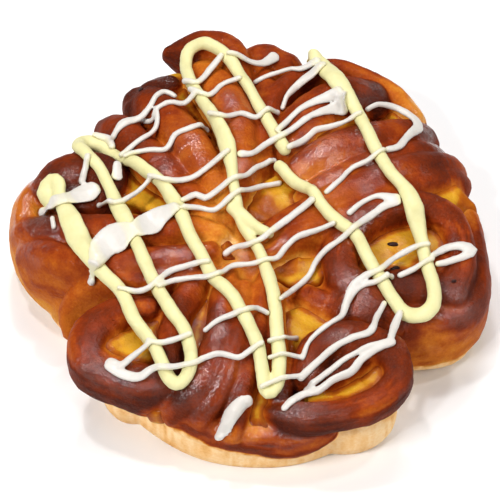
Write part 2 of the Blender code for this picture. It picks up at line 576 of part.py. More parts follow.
def icing_strip(name, width, thickness, sections, collection):
    """A closed strip lofted through unlike sections.

    Each section is (centre, direction, width scale, height scale, slope across, bend across).
    """
    shape = bmesh.new()
    flat = math.cos(math.pi / ICING_SIDES)
    rings = []
    for (x, y, z), (dx, dy), scale, size, slope, bend in sections:
        ring = []
        cosine = 1 / math.hypot(1, slope)
        for k in range(ICING_SIDES):
            angle = math.tau * (k + 0.5) / ICING_SIDES
            across = math.cos(angle) * scale * width / 2 / flat
            rise = math.sin(angle) * size * thickness / 2 / flat + bend * across**2
            out = (across - slope * rise) * cosine
            up = (slope * across + rise) * cosine
            ring.append(shape.verts.new(Vector((x - dy * out, y + dx * out, z + up)) * MM))
        rings.append(ring)
    for near, far in zip(rings, rings[1:]):
        for k in range(ICING_SIDES):
            after = (k + 1) % ICING_SIDES
            shape.faces.new((near[k], far[k], far[after], near[after]))
    shape.faces.new(rings[0])
    shape.faces.new(rings[-1][::-1])
    return mesh_object(name, shape, collection)


def recentre(objects):
    """Puts the middle of the whole bread's underside at the origin."""
    points = np.array([vert.co for obj in objects for vert in obj.data.vertices])
    low, high = points.min(axis=0), points.max(axis=0)
    shift = Vector((-(low[0] + high[0]) / 2, -(low[1] + high[1]) / 2, -low[2]))
    for obj in objects:
        for vert in obj.data.vertices:
            vert.co += shift


def make_dough(collection):
    pieces = [base_slab(collection)]
    for name, (centre, radii) in CORES.items():
        pieces.append(dome(name, centre, radii, collection))
    for name, (width, height, points) in STRANDS.items():
        pieces.append(strand(name, width, height, points, collection))
    bread = fused("bread", pieces, DOUGH_VOXEL, DOUGH_SMOOTHING, DOUGH_TRIANGLES, collection)
    bread.data.materials.append(material("baked_dough", (0.31, 0.06, 0.015), 0.35))
    return bread


def make_custards(bread, collection):
    """The fillings, with their pockets cut in the dough."""
    custard = material("custard", (0.5, 0.19, 0.01), 0.2)
    fillings, pockets = [], []
    for name, (width, height, points) in CUSTARDS.items():
        fillings.append(filling_strip(name, width, height, points, 0.0, collection))
        fillings[-1].data.materials.append(custard)
        pockets.append(filling_strip(name + "_pocket", width, height, points, POCKET_GAP, collection))
    boolean(bread, pockets, "DIFFERENCE")
    return fillings


def icing_layer(name, colour, lines, style, triangles, grounds, collection):
    """All the strokes of one icing as one solid."""
    strokes = []
    for i, points in enumerate(lines):
        strokes.append(icing_line(f"{name}_{i}", points, style, grounds, collection))
    layer = fused(name, strokes, ICING_VOXEL, ICING_SMOOTHING, triangles, collection)
    layer.data.materials.append(material(name, colour, 0.4))
    return layer


def add_icing(bread, fillings, collection):
    """Both icings, draped over the dough, clear of the custard, and fused to the dough."""
    dough_top, custard_top = surface_of([bread]), surface_of(fillings)
    sunk = YELLOW_ICING[2]
    grounds = [(dough_top, -sunk), (custard_top, CUSTARD_CLEAR)]
    yellow = icing_layer("yellow_icing", (0.95, 0.88, 0.45), YELLOW_LINES, YELLOW_ICING,
                         YELLOW_TRIANGLES, grounds, collection)
    sunk = WHITE_ICING[2]
    grounds = [(dough_top, -sunk), (custard_top, CUSTARD_CLEAR), (surface_of([yellow]), -sunk)]
    white = icing_layer("white_icing", (0.78, 0.74, 0.68), WHITE_LINES, WHITE_ICING,
                        WHITE_TRIANGLES, grounds, collection)
    boolean(bread, [yellow, white], "UNION")


def main():
    clear_scene()
    collection = new_collection("sweet_twist_bread")
    bread = make_dough(collection)
    fillings = make_custards(bread, collection)
    add_icing(bread, fillings, collection)
    cut_flat(bread, collection)
    keep_main_body(bread)
    recentre([bread, *fillings])
    for obj in (bread, *fillings):
        obj.data.shade_smooth()


main()
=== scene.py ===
"""Sweet twist bread: the looks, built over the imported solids.

The folded dough, the custard fillings and both icings are made again here at a fine resolution. Dough
and custard have the same lengths as the solids. The white icing has more and slightly narrower strokes
here, and a few stretches of icing differ in width. The tables are in millimetres, measured from the hub
of the rosette, with +Z up, and `place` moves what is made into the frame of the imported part.
"""

import math

import bmesh
import bpy
import numpy as np
from mathutils import Matrix, Vector
from mathutils.bvhtree import BVHTree
from mathutils.kdtree import KDTree

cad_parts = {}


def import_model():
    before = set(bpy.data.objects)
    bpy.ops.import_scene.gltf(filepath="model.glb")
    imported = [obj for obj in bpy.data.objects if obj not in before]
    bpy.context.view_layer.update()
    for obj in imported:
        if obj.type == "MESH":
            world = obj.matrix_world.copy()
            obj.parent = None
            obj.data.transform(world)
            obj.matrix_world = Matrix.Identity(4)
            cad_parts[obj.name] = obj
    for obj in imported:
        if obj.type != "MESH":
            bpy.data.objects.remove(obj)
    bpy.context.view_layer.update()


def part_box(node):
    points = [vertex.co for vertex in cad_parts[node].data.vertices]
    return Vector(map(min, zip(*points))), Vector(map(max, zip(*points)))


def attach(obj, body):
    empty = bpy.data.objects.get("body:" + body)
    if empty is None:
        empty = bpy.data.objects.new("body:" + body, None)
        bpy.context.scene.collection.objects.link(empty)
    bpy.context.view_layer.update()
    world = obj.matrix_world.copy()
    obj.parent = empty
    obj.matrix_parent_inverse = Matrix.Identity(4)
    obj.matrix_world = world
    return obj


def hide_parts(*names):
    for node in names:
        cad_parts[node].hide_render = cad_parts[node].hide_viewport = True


MM = 0.001

# Dough
BASE_TOP = 15.0
BASE_BOTTOM = -2.0
BASE_EDGE = 5.0
DOUGH_SQUARENESS = 0.72  # of the upper half of a strand's section, where 0.55 is an ellipse
COIL_SQUARENESS = 0.88
LOWER_SQUARENESS = 0.62
COILS = {"coil_c", "coil_d", "coil_e", "coil_f"}
DOUGH_STEP = 2.0
DOUGH_SIDES = 28
DOUGH_VOXEL = 0.6
DOUGH_SMOOTHING = 3
DOUGH_NOSE = [(0.25, 0.96), (0.45, 0.89), (0.65, 0.76), (0.8, 0.6), (0.9, 0.44), (0.97, 0.25)]

# Custard
CUSTARD_STEP = 1.5
CUSTARD_SIDES = 24
CUSTARD_SQUARENESS = 0.95
CUSTARD_VOXEL = 0.45
CUSTARD_SMOOTHING = 2
DISH = 1.3  # how far the middle of a filling has sunk
DISH_STEP = 0.4
DISH_UPWARD = (0.2, 0.5)  # only what faces up sinks: from this upward share, over this much more
EDGE_REACH = 1.8  # how far in the custard's browned edge goes
CUSTARD_NOSE = [(0.3, 0.94), (0.5, 0.84), (0.7, 0.66), (0.85, 0.46)]

# Icing
YELLOW_ICING = (3.8, 3.1, 0.9)  # width, thickness, depth sunk in the dough
WHITE_ICING = (1.75, 1.4, 0.4)
ICING_STEP = 1.2
ICING_SIDES = 14
ICING_VOXEL = 0.36
ICING_SMOOTHING = 2
RAIL = 0.6  # a stroke's tilt and bow are read this far out, in half widths
TOUCH = 0.35  # and it rests on all that lies this near, in widths
SAG = 0.03  # how far a section may hang below the line of its neighbours, at a spacing of 1 mm
STEEPEST = 1.6  # most that a stroke's section is raised and thickened for the steepness under it
HANG_PASSES = 250
ICING_NOSE = [(0.3, 0.94), (0.6, 0.78), (0.8, 0.55), (0.95, 0.25)]
WIDEST_NOSE = 1.6  # a wider section than this has a nose no longer than this one's
ON_YELLOW_REACH = 1.6  # white icing this far from the yellow takes none of its colour

# Burnt crumbs: centre, length, width, turn in degrees
CRUMBS = [
    (38.5, 2.5, 3.0, 1.3, -8),
    (39, -6, 2.2, 1.4, 20),
    (38, -7.5, 1.4, 1.0, -30),
    (54, -12, 1.2, 1.0, 0),
    (-30, 57, 1.6, 1.0, 40),
]
CRUMB_THICKNESS = 1.0
CRUMB_LIFT = 0.1

# Lumps in the surfaces, in layers of noise: depth, size, seed
DOUGH_LUMPS = [(0.34, 9.0, 11), (0.18, 3.5, 12), (0.1, 1.4, 13)]
CUSTARD_LUMPS = [(0.35, 6.0, 30), (0.12, 2.5, 60)]  # each filling adds its number to the seeds
ICING_LUMPS = [(0.12, 3.0, 90), (0.05, 1.2, 91)]
CRUMB_LUMPS = [(0.25, 0.9, 70)]
LUMPY_FROM = 6.0  # the dough's lumps fade out from this height down to the floor

# Outline of the pale slab: radius at every 30 degrees from +X
BASE_CENTRE = (0.0, 4.0)
BASE_RADII = [54, 54, 56, 60, 58, 57, 56, 46.5, 52.5, 57, 56, 50]

# Camera: target from the hub, height of the view above the floor, distance and lens
TARGET = (0.5, 7.0, 18.0)
ELEVATION = math.radians(50)
DISTANCE = 700.0
LENS = 186.5
SENSOR = 36.0

# Domes of dough that fill the space under the folds and the coils: centre, radii
CORES = [
    ((0, 8, 8), (50, 48, 19)),
    ((41, -2, 8), (17, 16, 15)),
    ((25, -40, 8), (14, 10, 13)),
    ((-30, -31, 8), (9, 9, 13)),
    ((-45, 24, 8), (12, 8, 17)),
    ((-8, 58, 8), (18, 14, 18)),
]

# Strands: section width and height, how brown from the first point to the last (0 pale, 0.5 golden,
# 1 nearly black), then points of the crest line (x, y, crest height, section scale). A scale of 1 is
# left out, here and in the tables below
STRANDS = {
    # top petal
    "tongue": (15, 24, (0.54, 0.65, 0.46), [(-12, 64, 30, 0.85), (-7, 53, 34), (-3, 41, 35, 0.9),
        (-2, 30, 35, 0.7), (-3, 21, 33, 0.55), (-4, 12, 31, 0.45)]),
    "horn": (10, 20, (0.8, 0.7, 0.64), [(-23, 75, 27, 0.35), (-19, 75, 30, 0.7), (-12, 74, 33), (-5, 70, 34),
        (-2, 61, 31, 0.8)]),
    "top_bump": (12, 22, (0.7, 0.72, 0.66), [(-1, 70, 28, 0.85), (5, 71, 30), (11, 69, 29, 0.85)]),
    "tongue_side": (9, 22, (0.66, 0.62, 0.5), [(5, 64, 29, 0.8), (4, 46, 32), (3, 33, 32, 0.9),
        (0, 21, 31, 0.7)]),
    # upper right coil
    "coil_b_outer": (9, 24, (0.62, 0.7, 0.76, 0.72, 0.5, 0.42), [(4, 26, 31, 0.6), (5, 34, 31, 0.8),
        (5, 44, 32, 0.9), (8, 54, 32), (15, 62, 31), (23, 65, 31), (33, 63, 29), (41, 58, 27),
        (47, 52, 24, 0.8)]),
    "coil_b_tongue": (16, 22, (0.62, 0.7, 0.92), [(12, 36, 32, 0.8), (15, 42, 34), (20, 48, 34),
        (27, 53, 34, 0.95), (33, 55, 31, 0.8)]),
    "ridge_a": (13, 20, (0.6, 0.7, 0.72, 0.8), [(14, 26, 32, 0.9), (22, 31, 34), (33, 37, 33),
        (43, 43, 28, 0.9), (47, 45, 24, 0.8)]),
    "ridge_b": (10, 18, (0.58, 0.7, 0.76, 0.85), [(15, 17, 31, 0.7), (26, 23, 33, 0.9), (37, 30, 32),
        (47, 36, 27), (51, 38, 22, 0.8)]),
    # right petal
    "ridge_c": (11, 20, (0.56, 0.7, 0.75, 0.85), [(4, 4, 30, 0.7), (14, 9, 33, 0.9), (26, 16, 34),
        (40, 25, 33), (51, 31, 28, 0.9), (54, 33, 22, 0.8)]),
    "ridge_e": (10, 20, (0.54, 0.68, 0.7, 0.8), [(5, -3, 30, 0.7), (15, 4, 32, 0.9), (26, 9, 33, 0.9),
        (40, 18, 32), (50, 25.5, 29), (55, 28, 23.5, 0.9)]),
    "coil_c": (12, 24, (0.72, 0.72, 0.7, 0.68, 0.72, 0.76), [(37, -17, 26, 0.7), (31, -15, 29, 0.85),
        (25.5, -10, 30, 0.9), (24, -3, 31, 0.9), (27, 5, 32, 0.95), (34, 11, 33, 0.9), (43, 13, 33, 0.85),
        (50.5, 11.5, 32, 0.8), (55.5, 6, 30.5, 0.75), (56.5, -4, 30, 0.7), (54.5, -11, 28, 0.8)]),
    "coil_c_tongue": (8, 16, (0.7, 0.66, 0.62), [(54, -4, 29.5, 0.9), (50, -5, 29), (46, -6.5, 28, 0.8)]),
    "coil_c_front": (11, 14, (0.74, 0.88, 0.84, 0.8), [(31, -11.5, 29, 0.8), (38, -11, 28.5), (46, -12, 28),
        (52, -12, 27.5, 0.8)]),
    "right_wrap": (8, 21, (0.75, 0.72, 0.75, 0.72, 0.78, 0.76, 0.68, 0.62), [(56, 26, 23, 0.8),
        (60, 15, 23, 0.9), (61, 4, 23), (61, -7, 23), (58, -14, 23), (53, -18, 23), (46, -19, 24),
        (39, -20, 26, 1.1), (32, -20, 28, 1.4), (25, -18.5, 29.5, 1.7), (17, -15, 30, 1.5), (11, -12, 30)]),
    "right_foot": (12, 16, (0.6, 0.6, 0.6, 0.55), [(57, -9, 17, 0.9), (54, -15, 16), (47, -18, 17),
        (38, -19, 18)]),
    # lower right coil
    "coil_d": (9.5, 12.5, (0.8, 0.76, 0.72, 0.72, 0.74, 0.74, 0.76), [(8, -48, 22, 0.8),
        (12, -50.5, 24, 0.75), (19, -51.3, 25, 0.72), (27, -50, 25.5, 0.75), (34.5, -46.5, 26.5, 0.8),
        (38.5, -40.5, 27.5, 0.85), (37, -34, 29), (30, -31, 30, 1.1), (23, -30.5, 30, 1.1),
        (17.5, -33.5, 29, 1.05), (15, -39.5, 27, 0.8)]),
    "coil_d_tongue": (7, 16, (0.75, 0.78, 0.8), [(33, -34.5, 29, 0.8), (27, -37.5, 28.5),
        (21, -41.5, 27, 0.9)]),
    # lower middle folds
    "fold_1": (9, 20, (0.55, 0.68, 0.75, 0.85), [(-9, -8, 30, 0.7), (-14, -14, 31, 0.9), (-18, -22, 31),
        (-20, -31, 30), (-20, -38, 27, 0.8)]),
    "fold_2": (10, 19, (0.5, 0.7, 0.76, 0.82), [(-5, -8, 30, 0.6), (-6, -19, 32, 0.9), (-7, -29, 32),
        (-9, -37, 31, 1.1), (-13, -43, 27, 1.05), (-18, -45.5, 21, 0.75)]),
    "fold_2_side": (8, 18, (0.5, 0.66, 0.76, 0.84), [(-1, -14, 31, 0.7), (-2, -28, 32, 0.9), (-4, -36, 31),
        (-7, -43, 27), (-11, -48, 20.5, 0.75)]),
    "fold_3": (7, 18, (0.56, 0.7, 0.76, 0.9), [(4, -10, 30, 0.7), (3, -22, 31, 0.9), (1, -33, 30),
        (-1, -42, 26), (-3, -49, 20)]),
    "fold_3_side": (8, 20, (0.5, 0.58, 0.65, 0.8), [(7, -14, 30, 0.7), (7, -26, 29, 0.9), (8, -37, 27, 0.9),
        (8, -46, 22, 0.8)]),
    "front_wrap": (9, 11, (0.78, 0.68, 0.56, 0.54, 0.58), [(-25, -41, 19, 0.7), (-14, -47, 18, 0.85),
        (-2, -50, 17), (12, -51, 17), (20, -49.5, 17.5, 0.75)]),
    # lower left coil
    "coil_e": (10.5, 14, (0.66, 0.7, 0.7, 0.7, 0.74, 0.8), [(-26, -20.5, 30, 0.7), (-31, -21, 30, 0.9),
        (-37, -23.5, 29), (-41.3, -28.5, 28.5), (-41.3, -34, 27.5), (-37, -37.5, 26.5), (-31, -40, 26),
        (-25, -41.5, 26, 1.05), (-21, -41.5, 25.5, 0.85)]),
    # left petals
    "ridge_s": (8, 18, (0.55, 0.62, 0.66, 0.6), [(-45, -12, 16, 0.8), (-44, -11, 20, 0.9), (-40, -10, 26),
        (-34, -10, 29), (-24, -11, 30, 0.9), (-13, -9, 30, 0.7)]),
    "left_b": (11, 22, (0.7, 0.7, 0.68, 0.56), [(-57, 4, 23, 0.9), (-52, 0, 27), (-44, -4, 30),
        (-31, -6, 32), (-20, -5, 32, 0.9), (-9, -2, 31, 0.6)]),
    "left_a": (12, 22, (0.85, 0.8, 0.66, 0.55, 0.45), [(-59, 12, 23, 0.8), (-49, 9, 28, 0.9), (-39, 6, 31),
        (-28, 5, 32), (-16, 6, 32, 0.9), (-7, 4, 31, 0.6)]),
    "left_wrap": (10, 22, (0.55, 0.5, 0.48, 0.55), [(-54, 31, 23, 0.7), (-60, 22, 23, 0.9), (-60, 12, 22),
        (-55, 4, 21), (-49, -2, 19, 0.9), (-45, -7, 15, 0.7)]),
    "coil_f": (12, 20, (0.8, 0.82, 0.8, 0.78), [(-55, 24.5, 26, 0.8), (-51.5, 27, 28.5), (-45, 28.5, 30),
        (-39.5, 27, 30.5), (-38, 23.5, 29.5, 0.9), (-42, 19.5, 27.5, 0.9), (-49, 18.5, 26, 0.8)]),
    # upper left folds
    "fold_4": (12, 20, (0.9, 0.74, 0.68, 0.58, 0.48), [(-38, 47, 25, 0.8), (-34, 42, 30), (-29, 35, 30),
        (-24, 28, 32), (-18, 20, 32, 0.9), (-10, 11, 31, 0.6)]),
    "fold_4_side": (9, 18, (0.85, 0.8, 0.8), [(-50, 36, 21, 0.8), (-44, 40, 23), (-37, 44, 24),
        (-33, 47, 24, 0.8)]),
    "fold_5": (13, 22, (0.92, 0.7, 0.6, 0.5, 0.42), [(-31, 58, 26, 0.7), (-27, 54, 30), (-21, 45, 32),
        (-15, 33, 34), (-10, 23, 33, 0.9), (-6, 13, 31, 0.5)]),
    "fold_5_nub": (9, 16, (0.95, 0.9, 0.85), [(-32, 55, 26, 0.7), (-27, 59, 28, 0.9), (-22, 62, 27, 0.8)]),
}

# Custard: pocket width and depth, then points of its crest line (x, y, crest height, section scale)
CUSTARDS = {
    "right_coil": (17, 12, [(29.5, -2, 26.5, 0.8), (36, 0.5, 27), (44, 2.5, 27.5), (51, 4.5, 28, 0.8)]),
    "right_end": (12, 12, [(43, -16.5, 23, 0.7), (48, -15.5, 23.5), (54, -13.5, 23.5, 0.6)]),
    "right_back": (14, 12, [(49, 19.5, 27.5, 0.7), (53, 19.5, 26), (57, 17, 24, 0.8)]),
    "hub_right": (11, 12, [(8, -6, 27, 0.7), (14, -7, 28), (19, -6, 28, 0.7)]),
    "hub_back": (14, 12, [(3, 12.5, 28, 0.6), (7, 17.5, 29), (12, 22.5, 29.5, 0.8)]),
    "hub_left": (8, 12, [(-12, 1, 29.5, 0.6), (-8, 0, 29.5), (-4, -1, 27.5, 0.7)]),
    "back_coil": (12, 12, [(19, 37, 31.5, 0.7), (25, 42, 31.5), (30, 46, 29.5, 0.7)]),
    "back_end": (14, 12, [(35, 56, 25.5, 0.7), (40, 55, 24.5), (45, 49, 22.5, 0.8)]),
    "front_right_coil": (13, 12, [(19, -45.5, 24, 0.75), (26, -45, 24.5), (32, -42, 25),
        (34, -38, 25.5, 0.7)]),
    "front_right_gap": (15, 12, [(25, -25, 25, 0.7), (18, -24, 25.5), (12.5, -26, 25.5), (11, -31, 24, 0.8),
        (11, -36, 23.5, 0.6)]),
    "front_gap": (8, 12, [(4, -38, 24.5, 0.6), (3, -44, 22), (3, -49, 18, 0.8)]),
    "front_left_gap": (12, 12, [(-9, -14, 27.5, 0.5), (-12, -21, 27, 0.9), (-13, -28, 25.5), (-14, -34, 24),
        (-17, -40, 22.5, 0.9), (-23, -43, 19.5, 0.8)]),
    "front_left_coil": (16, 12, [(-34.5, -32, 26, 0.8), (-31.5, -31, 26, 0.95), (-27.5, -29, 26.2, 0.75),
        (-24.5, -24, 26.5, 0.45), (-22, -18, 27, 0.4)]),
    "left_end": (11, 12, [(-58, 19, 21.5, 0.8), (-55, 20, 22.5), (-52, 22, 23, 0.8)]),
    "left_back": (15, 12, [(-34.5, 28.5, 25.5, 0.8), (-29.5, 23.5, 26.5), (-24, 17.5, 27.5, 0.7)]),
    "top_gap": (13, 14, [(-22, 64, 24.5, 0.9), (-17, 55, 26.5, 0.9), (-13, 46, 28, 0.8),
        (-10, 37, 28, 0.5)]),
}

# Thick yellow icing: centre lines seen from above, as points (x, y, width scale)
YELLOW_LINES = [
    [(-53.5, 18, 1.3), (-55, 20.5, 1.4), (-53.5, 22.5, 1.4), (-51.5, 21.5, 1.3), (-51, 18),
     (-49.5, 13.5, 1.2), (-46.5, 5, 1.7), (-43.5, -2.5, 1.6), (-40, -9, 1.1), (-34, -15.5), (-30, -25),
     (-26, -31), (-22.5, -38), (-20.5, -42.5), (-18, -45.5), (-15.5, -43.5), (-14.5, -39), (-16, -31),
     (-20, -24.5), (-24, -15.5), (-27, -9.5), (-30, -1), (-33.5, 7.5, 1.3), (-37, 18, 0.95),
     (-40, 24.5, 0.9), (-43.5, 29.5), (-46.5, 34.5), (-45, 38.5, 1.2), (-41, 38.5, 1.2), (-38, 35.5),
     (-33.5, 30.5), (-27.5, 23.5, 1.1), (-23, 18.5), (-19.5, 12.5, 1.2), (-17, 5), (-14.5, -1.5),
     (-11.5, -7.5), (-8.5, -14.5), (-4.5, -20), (-2, -25), (0.5, -30.5), (2.5, -35), (3.5, -40.5),
     (5, -47, 1.1), (7.5, -44), (8, -38), (7.5, -29.5), (7, -21.5), (5.5, -13), (3.5, -5, 0.8),
     (0.5, 2, 0.8), (-2, 7, 0.8), (-3, 12, 0.8), (-4, 17.5, 0.8), (-4.5, 23, 0.9), (-6, 31, 1.35),
     (-9, 40, 1.15), (-12.5, 48), (-15, 54), (-17, 60.5), (-17.5, 65.5), (-16.5, 69.5), (-12.5, 70),
     (-8.5, 67.5), (-5, 63.5), (-2, 58), (1, 50.5), (4.5, 43), (7.5, 36.5), (10, 31.5)],
    [(8.5, 25.5, 0.9), (11.5, 21, 0.9), (16.5, 15.5, 0.9), (19.5, 9.5, 0.9), (23.5, 4.5), (27.5, 1.5),
     (30.5, -3), (33, -8.5), (36, -14.5), (38.5, -18.5), (41, -21.5, 1.2), (45.5, -21.5, 1.2),
     (48.5, -18.5, 1.1), (48.5, -13.5), (47, -6.5), (46, 1), (44.5, 7.5, 1.4), (43, 13, 1.3), (40.5, 18),
     (37.5, 22), (35, 29), (32.5, 35.5), (30, 43.5), (28, 48.5, 1.1), (25, 53.5, 1.5), (21.5, 61.5, 1.4),
     (19, 66, 1.1), (18.5, 70, 0.7)],
    [(-4, 10.5, 1.1), (-1, 7.5, 1.1), (2.5, 4, 0.9), (5.5, 2, 0.8)],
]

# Thin white icing, in the same form
WHITE_LINES = [
    [(-5.5, 64.5), (0.5, 64), (4, 65, 1.4), (7.5, 68.5, 2)],
    [(-17.5, 55.5, 1.2), (-14, 54.5, 1.2), (-10.5, 60, 1.2), (-7.5, 64)],
    [(-2.5, 55), (-7, 53.5), (-11, 49), (-16, 51.5)],
    [(-10.5, 40.5), (-6.5, 39), (-2, 41.5), (2, 40.5), (4.5, 43), (8, 45)],
    [(-37, 38.5), (-34, 42.5, 1.6), (-30, 44.5, 1.2), (-27, 48.5), (-25.5, 52), (-23, 54), (-20.5, 52.5)],
    [(-30, 47), (-26.5, 44), (-25, 47), (-21.5, 49), (-17.5, 47.5), (-14.5, 50)],
    [(-25.5, 47), (-25, 43), (-26, 39.5), (-30, 35.5), (-34.5, 31)],
    [(-33.5, 29.5), (-28, 31), (-22.5, 31), (-20, 35), (-16, 37, 1.2), (-11.5, 40)],
    [(-26.5, 20), (-21.5, 18.5), (-15.5, 20, 1.1), (-10.5, 23.5, 1.1), (-5.5, 26.5)],
    [(-2, 27, 1.4), (1, 27.5), (4.5, 31.5), (8, 34), (12, 37), (15.5, 40.5), (19, 42.5, 1.3), (23.5, 45, 2)],
    [(-40, 15), (-35.5, 11, 0.9), (-31.5, 13.5, 0.9), (-28, 17.5, 0.9), (-26.5, 19.5)],
    [(-17.5, 12), (-14, 14.5, 1.2), (-11.5, 13, 1.2), (-9, 14.5, 1.2), (-5, 17), (-1, 19.5), (2.5, 24.5),
     (7, 29)],
    [(-17, 8.5), (-13, 9), (-9, 8.5), (-5, 12), (-0.5, 15.5), (3.5, 19.5), (8.5, 21.5)],
    [(-33.5, -17.5, 0.9), (-29.5, -18.5), (-26, -17.5, 0.9), (-23, -14.5), (-20, -11, 1.1), (-15, -9.5),
     (-10.5, -9)],
    [(-43.5, 27.5, 1.2), (-44, 25), (-45, 22.5, 1.2)],
    [(-42, 40.5, 1.4), (-38.5, 39, 1.4), (-37.5, 36.5, 1.2)],
    [(-35.5, 27, 1.4), (-35.5, 23, 2)],
    [(-52.5, 10, 0.9), (-52, 7, 0.9)],
    [(-23, -17), (-19, -14.5), (-14, -14), (-10, -14.5, 1.1), (-7, -13), (-4, -9.5), (2, -8.5),
     (4.5, -7.5, 0.9), (7.5, -6.5, 0.9), (10, -2.5), (13.5, 0.5), (18.5, 1.5), (22.5, 2.5, 0.9)],
    [(-25.5, -34), (-22.5, -35), (-17.5, -33.5), (-15, -32.5)],
    [(-35.5, -38, 2.2), (-32.5, -39, 1.4), (-29.5, -37), (-25.5, -35)],
    [(-35.5, -38.5, 2.2), (-32.5, -41, 1.8), (-28, -42.5, 1.6), (-24, -41, 1.2), (-18.5, -42), (-14, -42),
     (-11, -40), (-6.5, -38.5), (-2.5, -39.5), (0.5, -37.5), (3.5, -35.5)],
    [(-11, -31, 0.9), (-7.5, -28.5), (-3.5, -27.5), (-0.5, -26.5), (2.5, -24.5, 0.9), (5, -25, 0.8)],
    [(-7.2, -54, 2), (-6.3, -52.8, 2.6), (-4.8, -51.4, 2.7), (-2.5, -49.8, 2.6), (0, -48, 2)],
    [(-6, -3), (-3.5, -1.5), (0.5, -2), (4.5, 0, 1.1), (8.5, 4, 1.2), (13, 7.5, 1.2), (17, 10, 1.2)],
    [(5.5, -33.5, 0.8), (9.5, -32.5, 0.8), (12.5, -28.5, 0.8)],
    [(5.5, -38.5, 0.8), (9, -37.5, 0.8), (13, -37, 0.8)],
    [(3.5, -46.5, 0.9), (7.5, -44.5, 0.9), (13.5, -42, 0.9)],
    [(9.3, -50.4, 1.2), (11, -48.4, 1.4), (14.5, -46, 1.3), (18, -45.5, 1.3), (22, -43.5, 1.2),
     (26.5, -41.5, 1.4), (29, -38.5, 1.3), (32.5, -36, 1.1), (37, -33.5, 1.2)],
    [(15, -44), (18.5, -42.5), (22.5, -40), (26, -37.5, 0.9), (30, -35.5, 0.9), (34, -34, 0.9), (37, -33)],
    [(13.5, -42.5, 1.2), (17.5, -39, 1.2), (22, -35.5, 1.1), (26.5, -33, 1.1), (31.5, -30.5, 1.2),
     (33.5, -24), (35.5, -19, 0.9)],
    [(36.5, -33), (38, -27, 1.4), (39.5, -22.5)],
    [(14, -37.5, 0.8), (15.5, -33.5, 0.8), (19, -29.5, 0.9), (24, -25), (25.5, -20.5, 1.2),
     (27.5, -15.5, 1.6), (31, -12, 1.3), (34.5, -10.5, 1.1), (38.5, -5.5), (43, -2.5, 1.1), (47.5, -1.5)],
    [(26, -19.5), (28, -16.5), (31, -14.5), (34, -14), (37.5, -11.5)],
    [(8.5, -21, 0.8), (12.5, -14.5, 0.9), (16, -10, 0.9), (18, -6, 0.9), (21.5, -3), (26.5, 0, 1.1),
     (31, 5, 1.2), (35.5, 9, 1.4), (39.5, 11.5, 2.2)],
    [(27, 7.5), (30.5, 11), (34.5, 13, 1.2), (39.5, 12, 2)],
    [(40, -10.5), (43.5, -9), (48.5, -6.5, 0.9)],
    [(48.5, -5.5, 0.9), (52.5, -2.5, 1.4), (56.5, -2, 1.8), (59, -3.5, 2), (56.5, -5.5, 1.3),
     (53, -6.5, 1.2), (50, -7)],
    [(2, 58.5, 0.9), (6, 61, 0.9), (11, 62.5), (15.5, 62, 1.2), (19, 63.5, 1.6)],
    [(9.5, 48, 0.8), (11, 52.5), (14.5, 57, 1.4), (18.5, 59.5, 1.8), (20.5, 61.5, 1.6)],
    [(8, 36.5), (11.5, 41), (15, 44.5, 1.2), (19, 47, 1.6), (25, 49, 2.2)],
    [(8.5, 34), (13, 38, 1.1), (16.5, 41, 1.2)],
    [(11, 30.5), (14.5, 33.5, 1.2), (18.5, 37.5, 1.1), (23, 39, 0.9), (27.5, 40, 0.9), (30.5, 41.5)],
    [(33, 48, 0.9), (37, 50.5), (41.5, 51, 1.2), (45.5, 48, 1.6), (47, 43.5, 2), (44, 38.5, 1.4),
     (41, 32.5, 1.3), (38, 30.5, 1.2)],
    [(36.5, 28, 0.9), (32.5, 25), (28, 23), (24.5, 18), (21, 14)],
    [(-55.5, 15.5, 1.8), (-52.5, 14.5, 2.4), (-48, 15.5, 3), (-44, 18, 4), (-41.5, 20, 3)],
    [(-41, -11.5, 1.6), (-39.5, -8.5, 2.8), (-38, -4, 4.4), (-34.5, -1, 5.4), (-30, 1, 2.8)],
    [(-29.5, 0.5, 2.8), (-26.5, 3.5, 4.4), (-23.5, 6.5, 3.6), (-19.5, 8.5, 2.2)],
    [(25.5, 48, 2.2), (26.5, 45, 3.2)],
]

# How the crust is painted
LOOK_STEP = 1.5  # spacing of the points that a strand's paint is worked out from
FLOOR_AND_CEILING = (-9.0, 60.0)
SHARPNESS = 9.0  # of the change of colour from one strand to the next
CORE_LEVEL = 0.55  # how brown the dough is between the strands
CORE_WEIGHT = 3e-6  # how much that counts beside a strand's 1
FLANK_END = 1.6  # a flank changes this far down from the crest, in half heights
FLANK_PALING = 0.14  # per half height
RIMMED = {"coil_c", "coil_d", "coil_e", "coil_f", "coil_b_outer", "front_wrap", "horn"}
# Their outer flanks are browner instead: by how much, from how far down, over what length
RIM_BROWNING = [(0.11, 0.3, 0.2), (0.1, 0.8, 1.0)]
STREAK_BROWNING = 0.12
STREAKS = [(0.6, 1.1, 2.2, 40), (0.4, 2.3, 0.9, 41)]  # strength, rate along, size across, seed
BLOTCHES = [(0.07, 11.0, 1), (0.05, 4.0, 2), (0.03, 1.5, 5)]  # change of brown, size, seed
DARK = 0.6  # dough browner than this takes more colour
DARK_BROWNING, DARK_RANGE = 0.05, 0.1
CHAR = 9.0  # how far from the custard the dough is baked darker
CHARRING, CHAR_RANGE = 0.07, 0.15
BLUSH = 2.6  # how far the custard lightens the dough round it
BLUSHING = 0.42
PORES_FROM, PORES_RATE = 0.8, 5

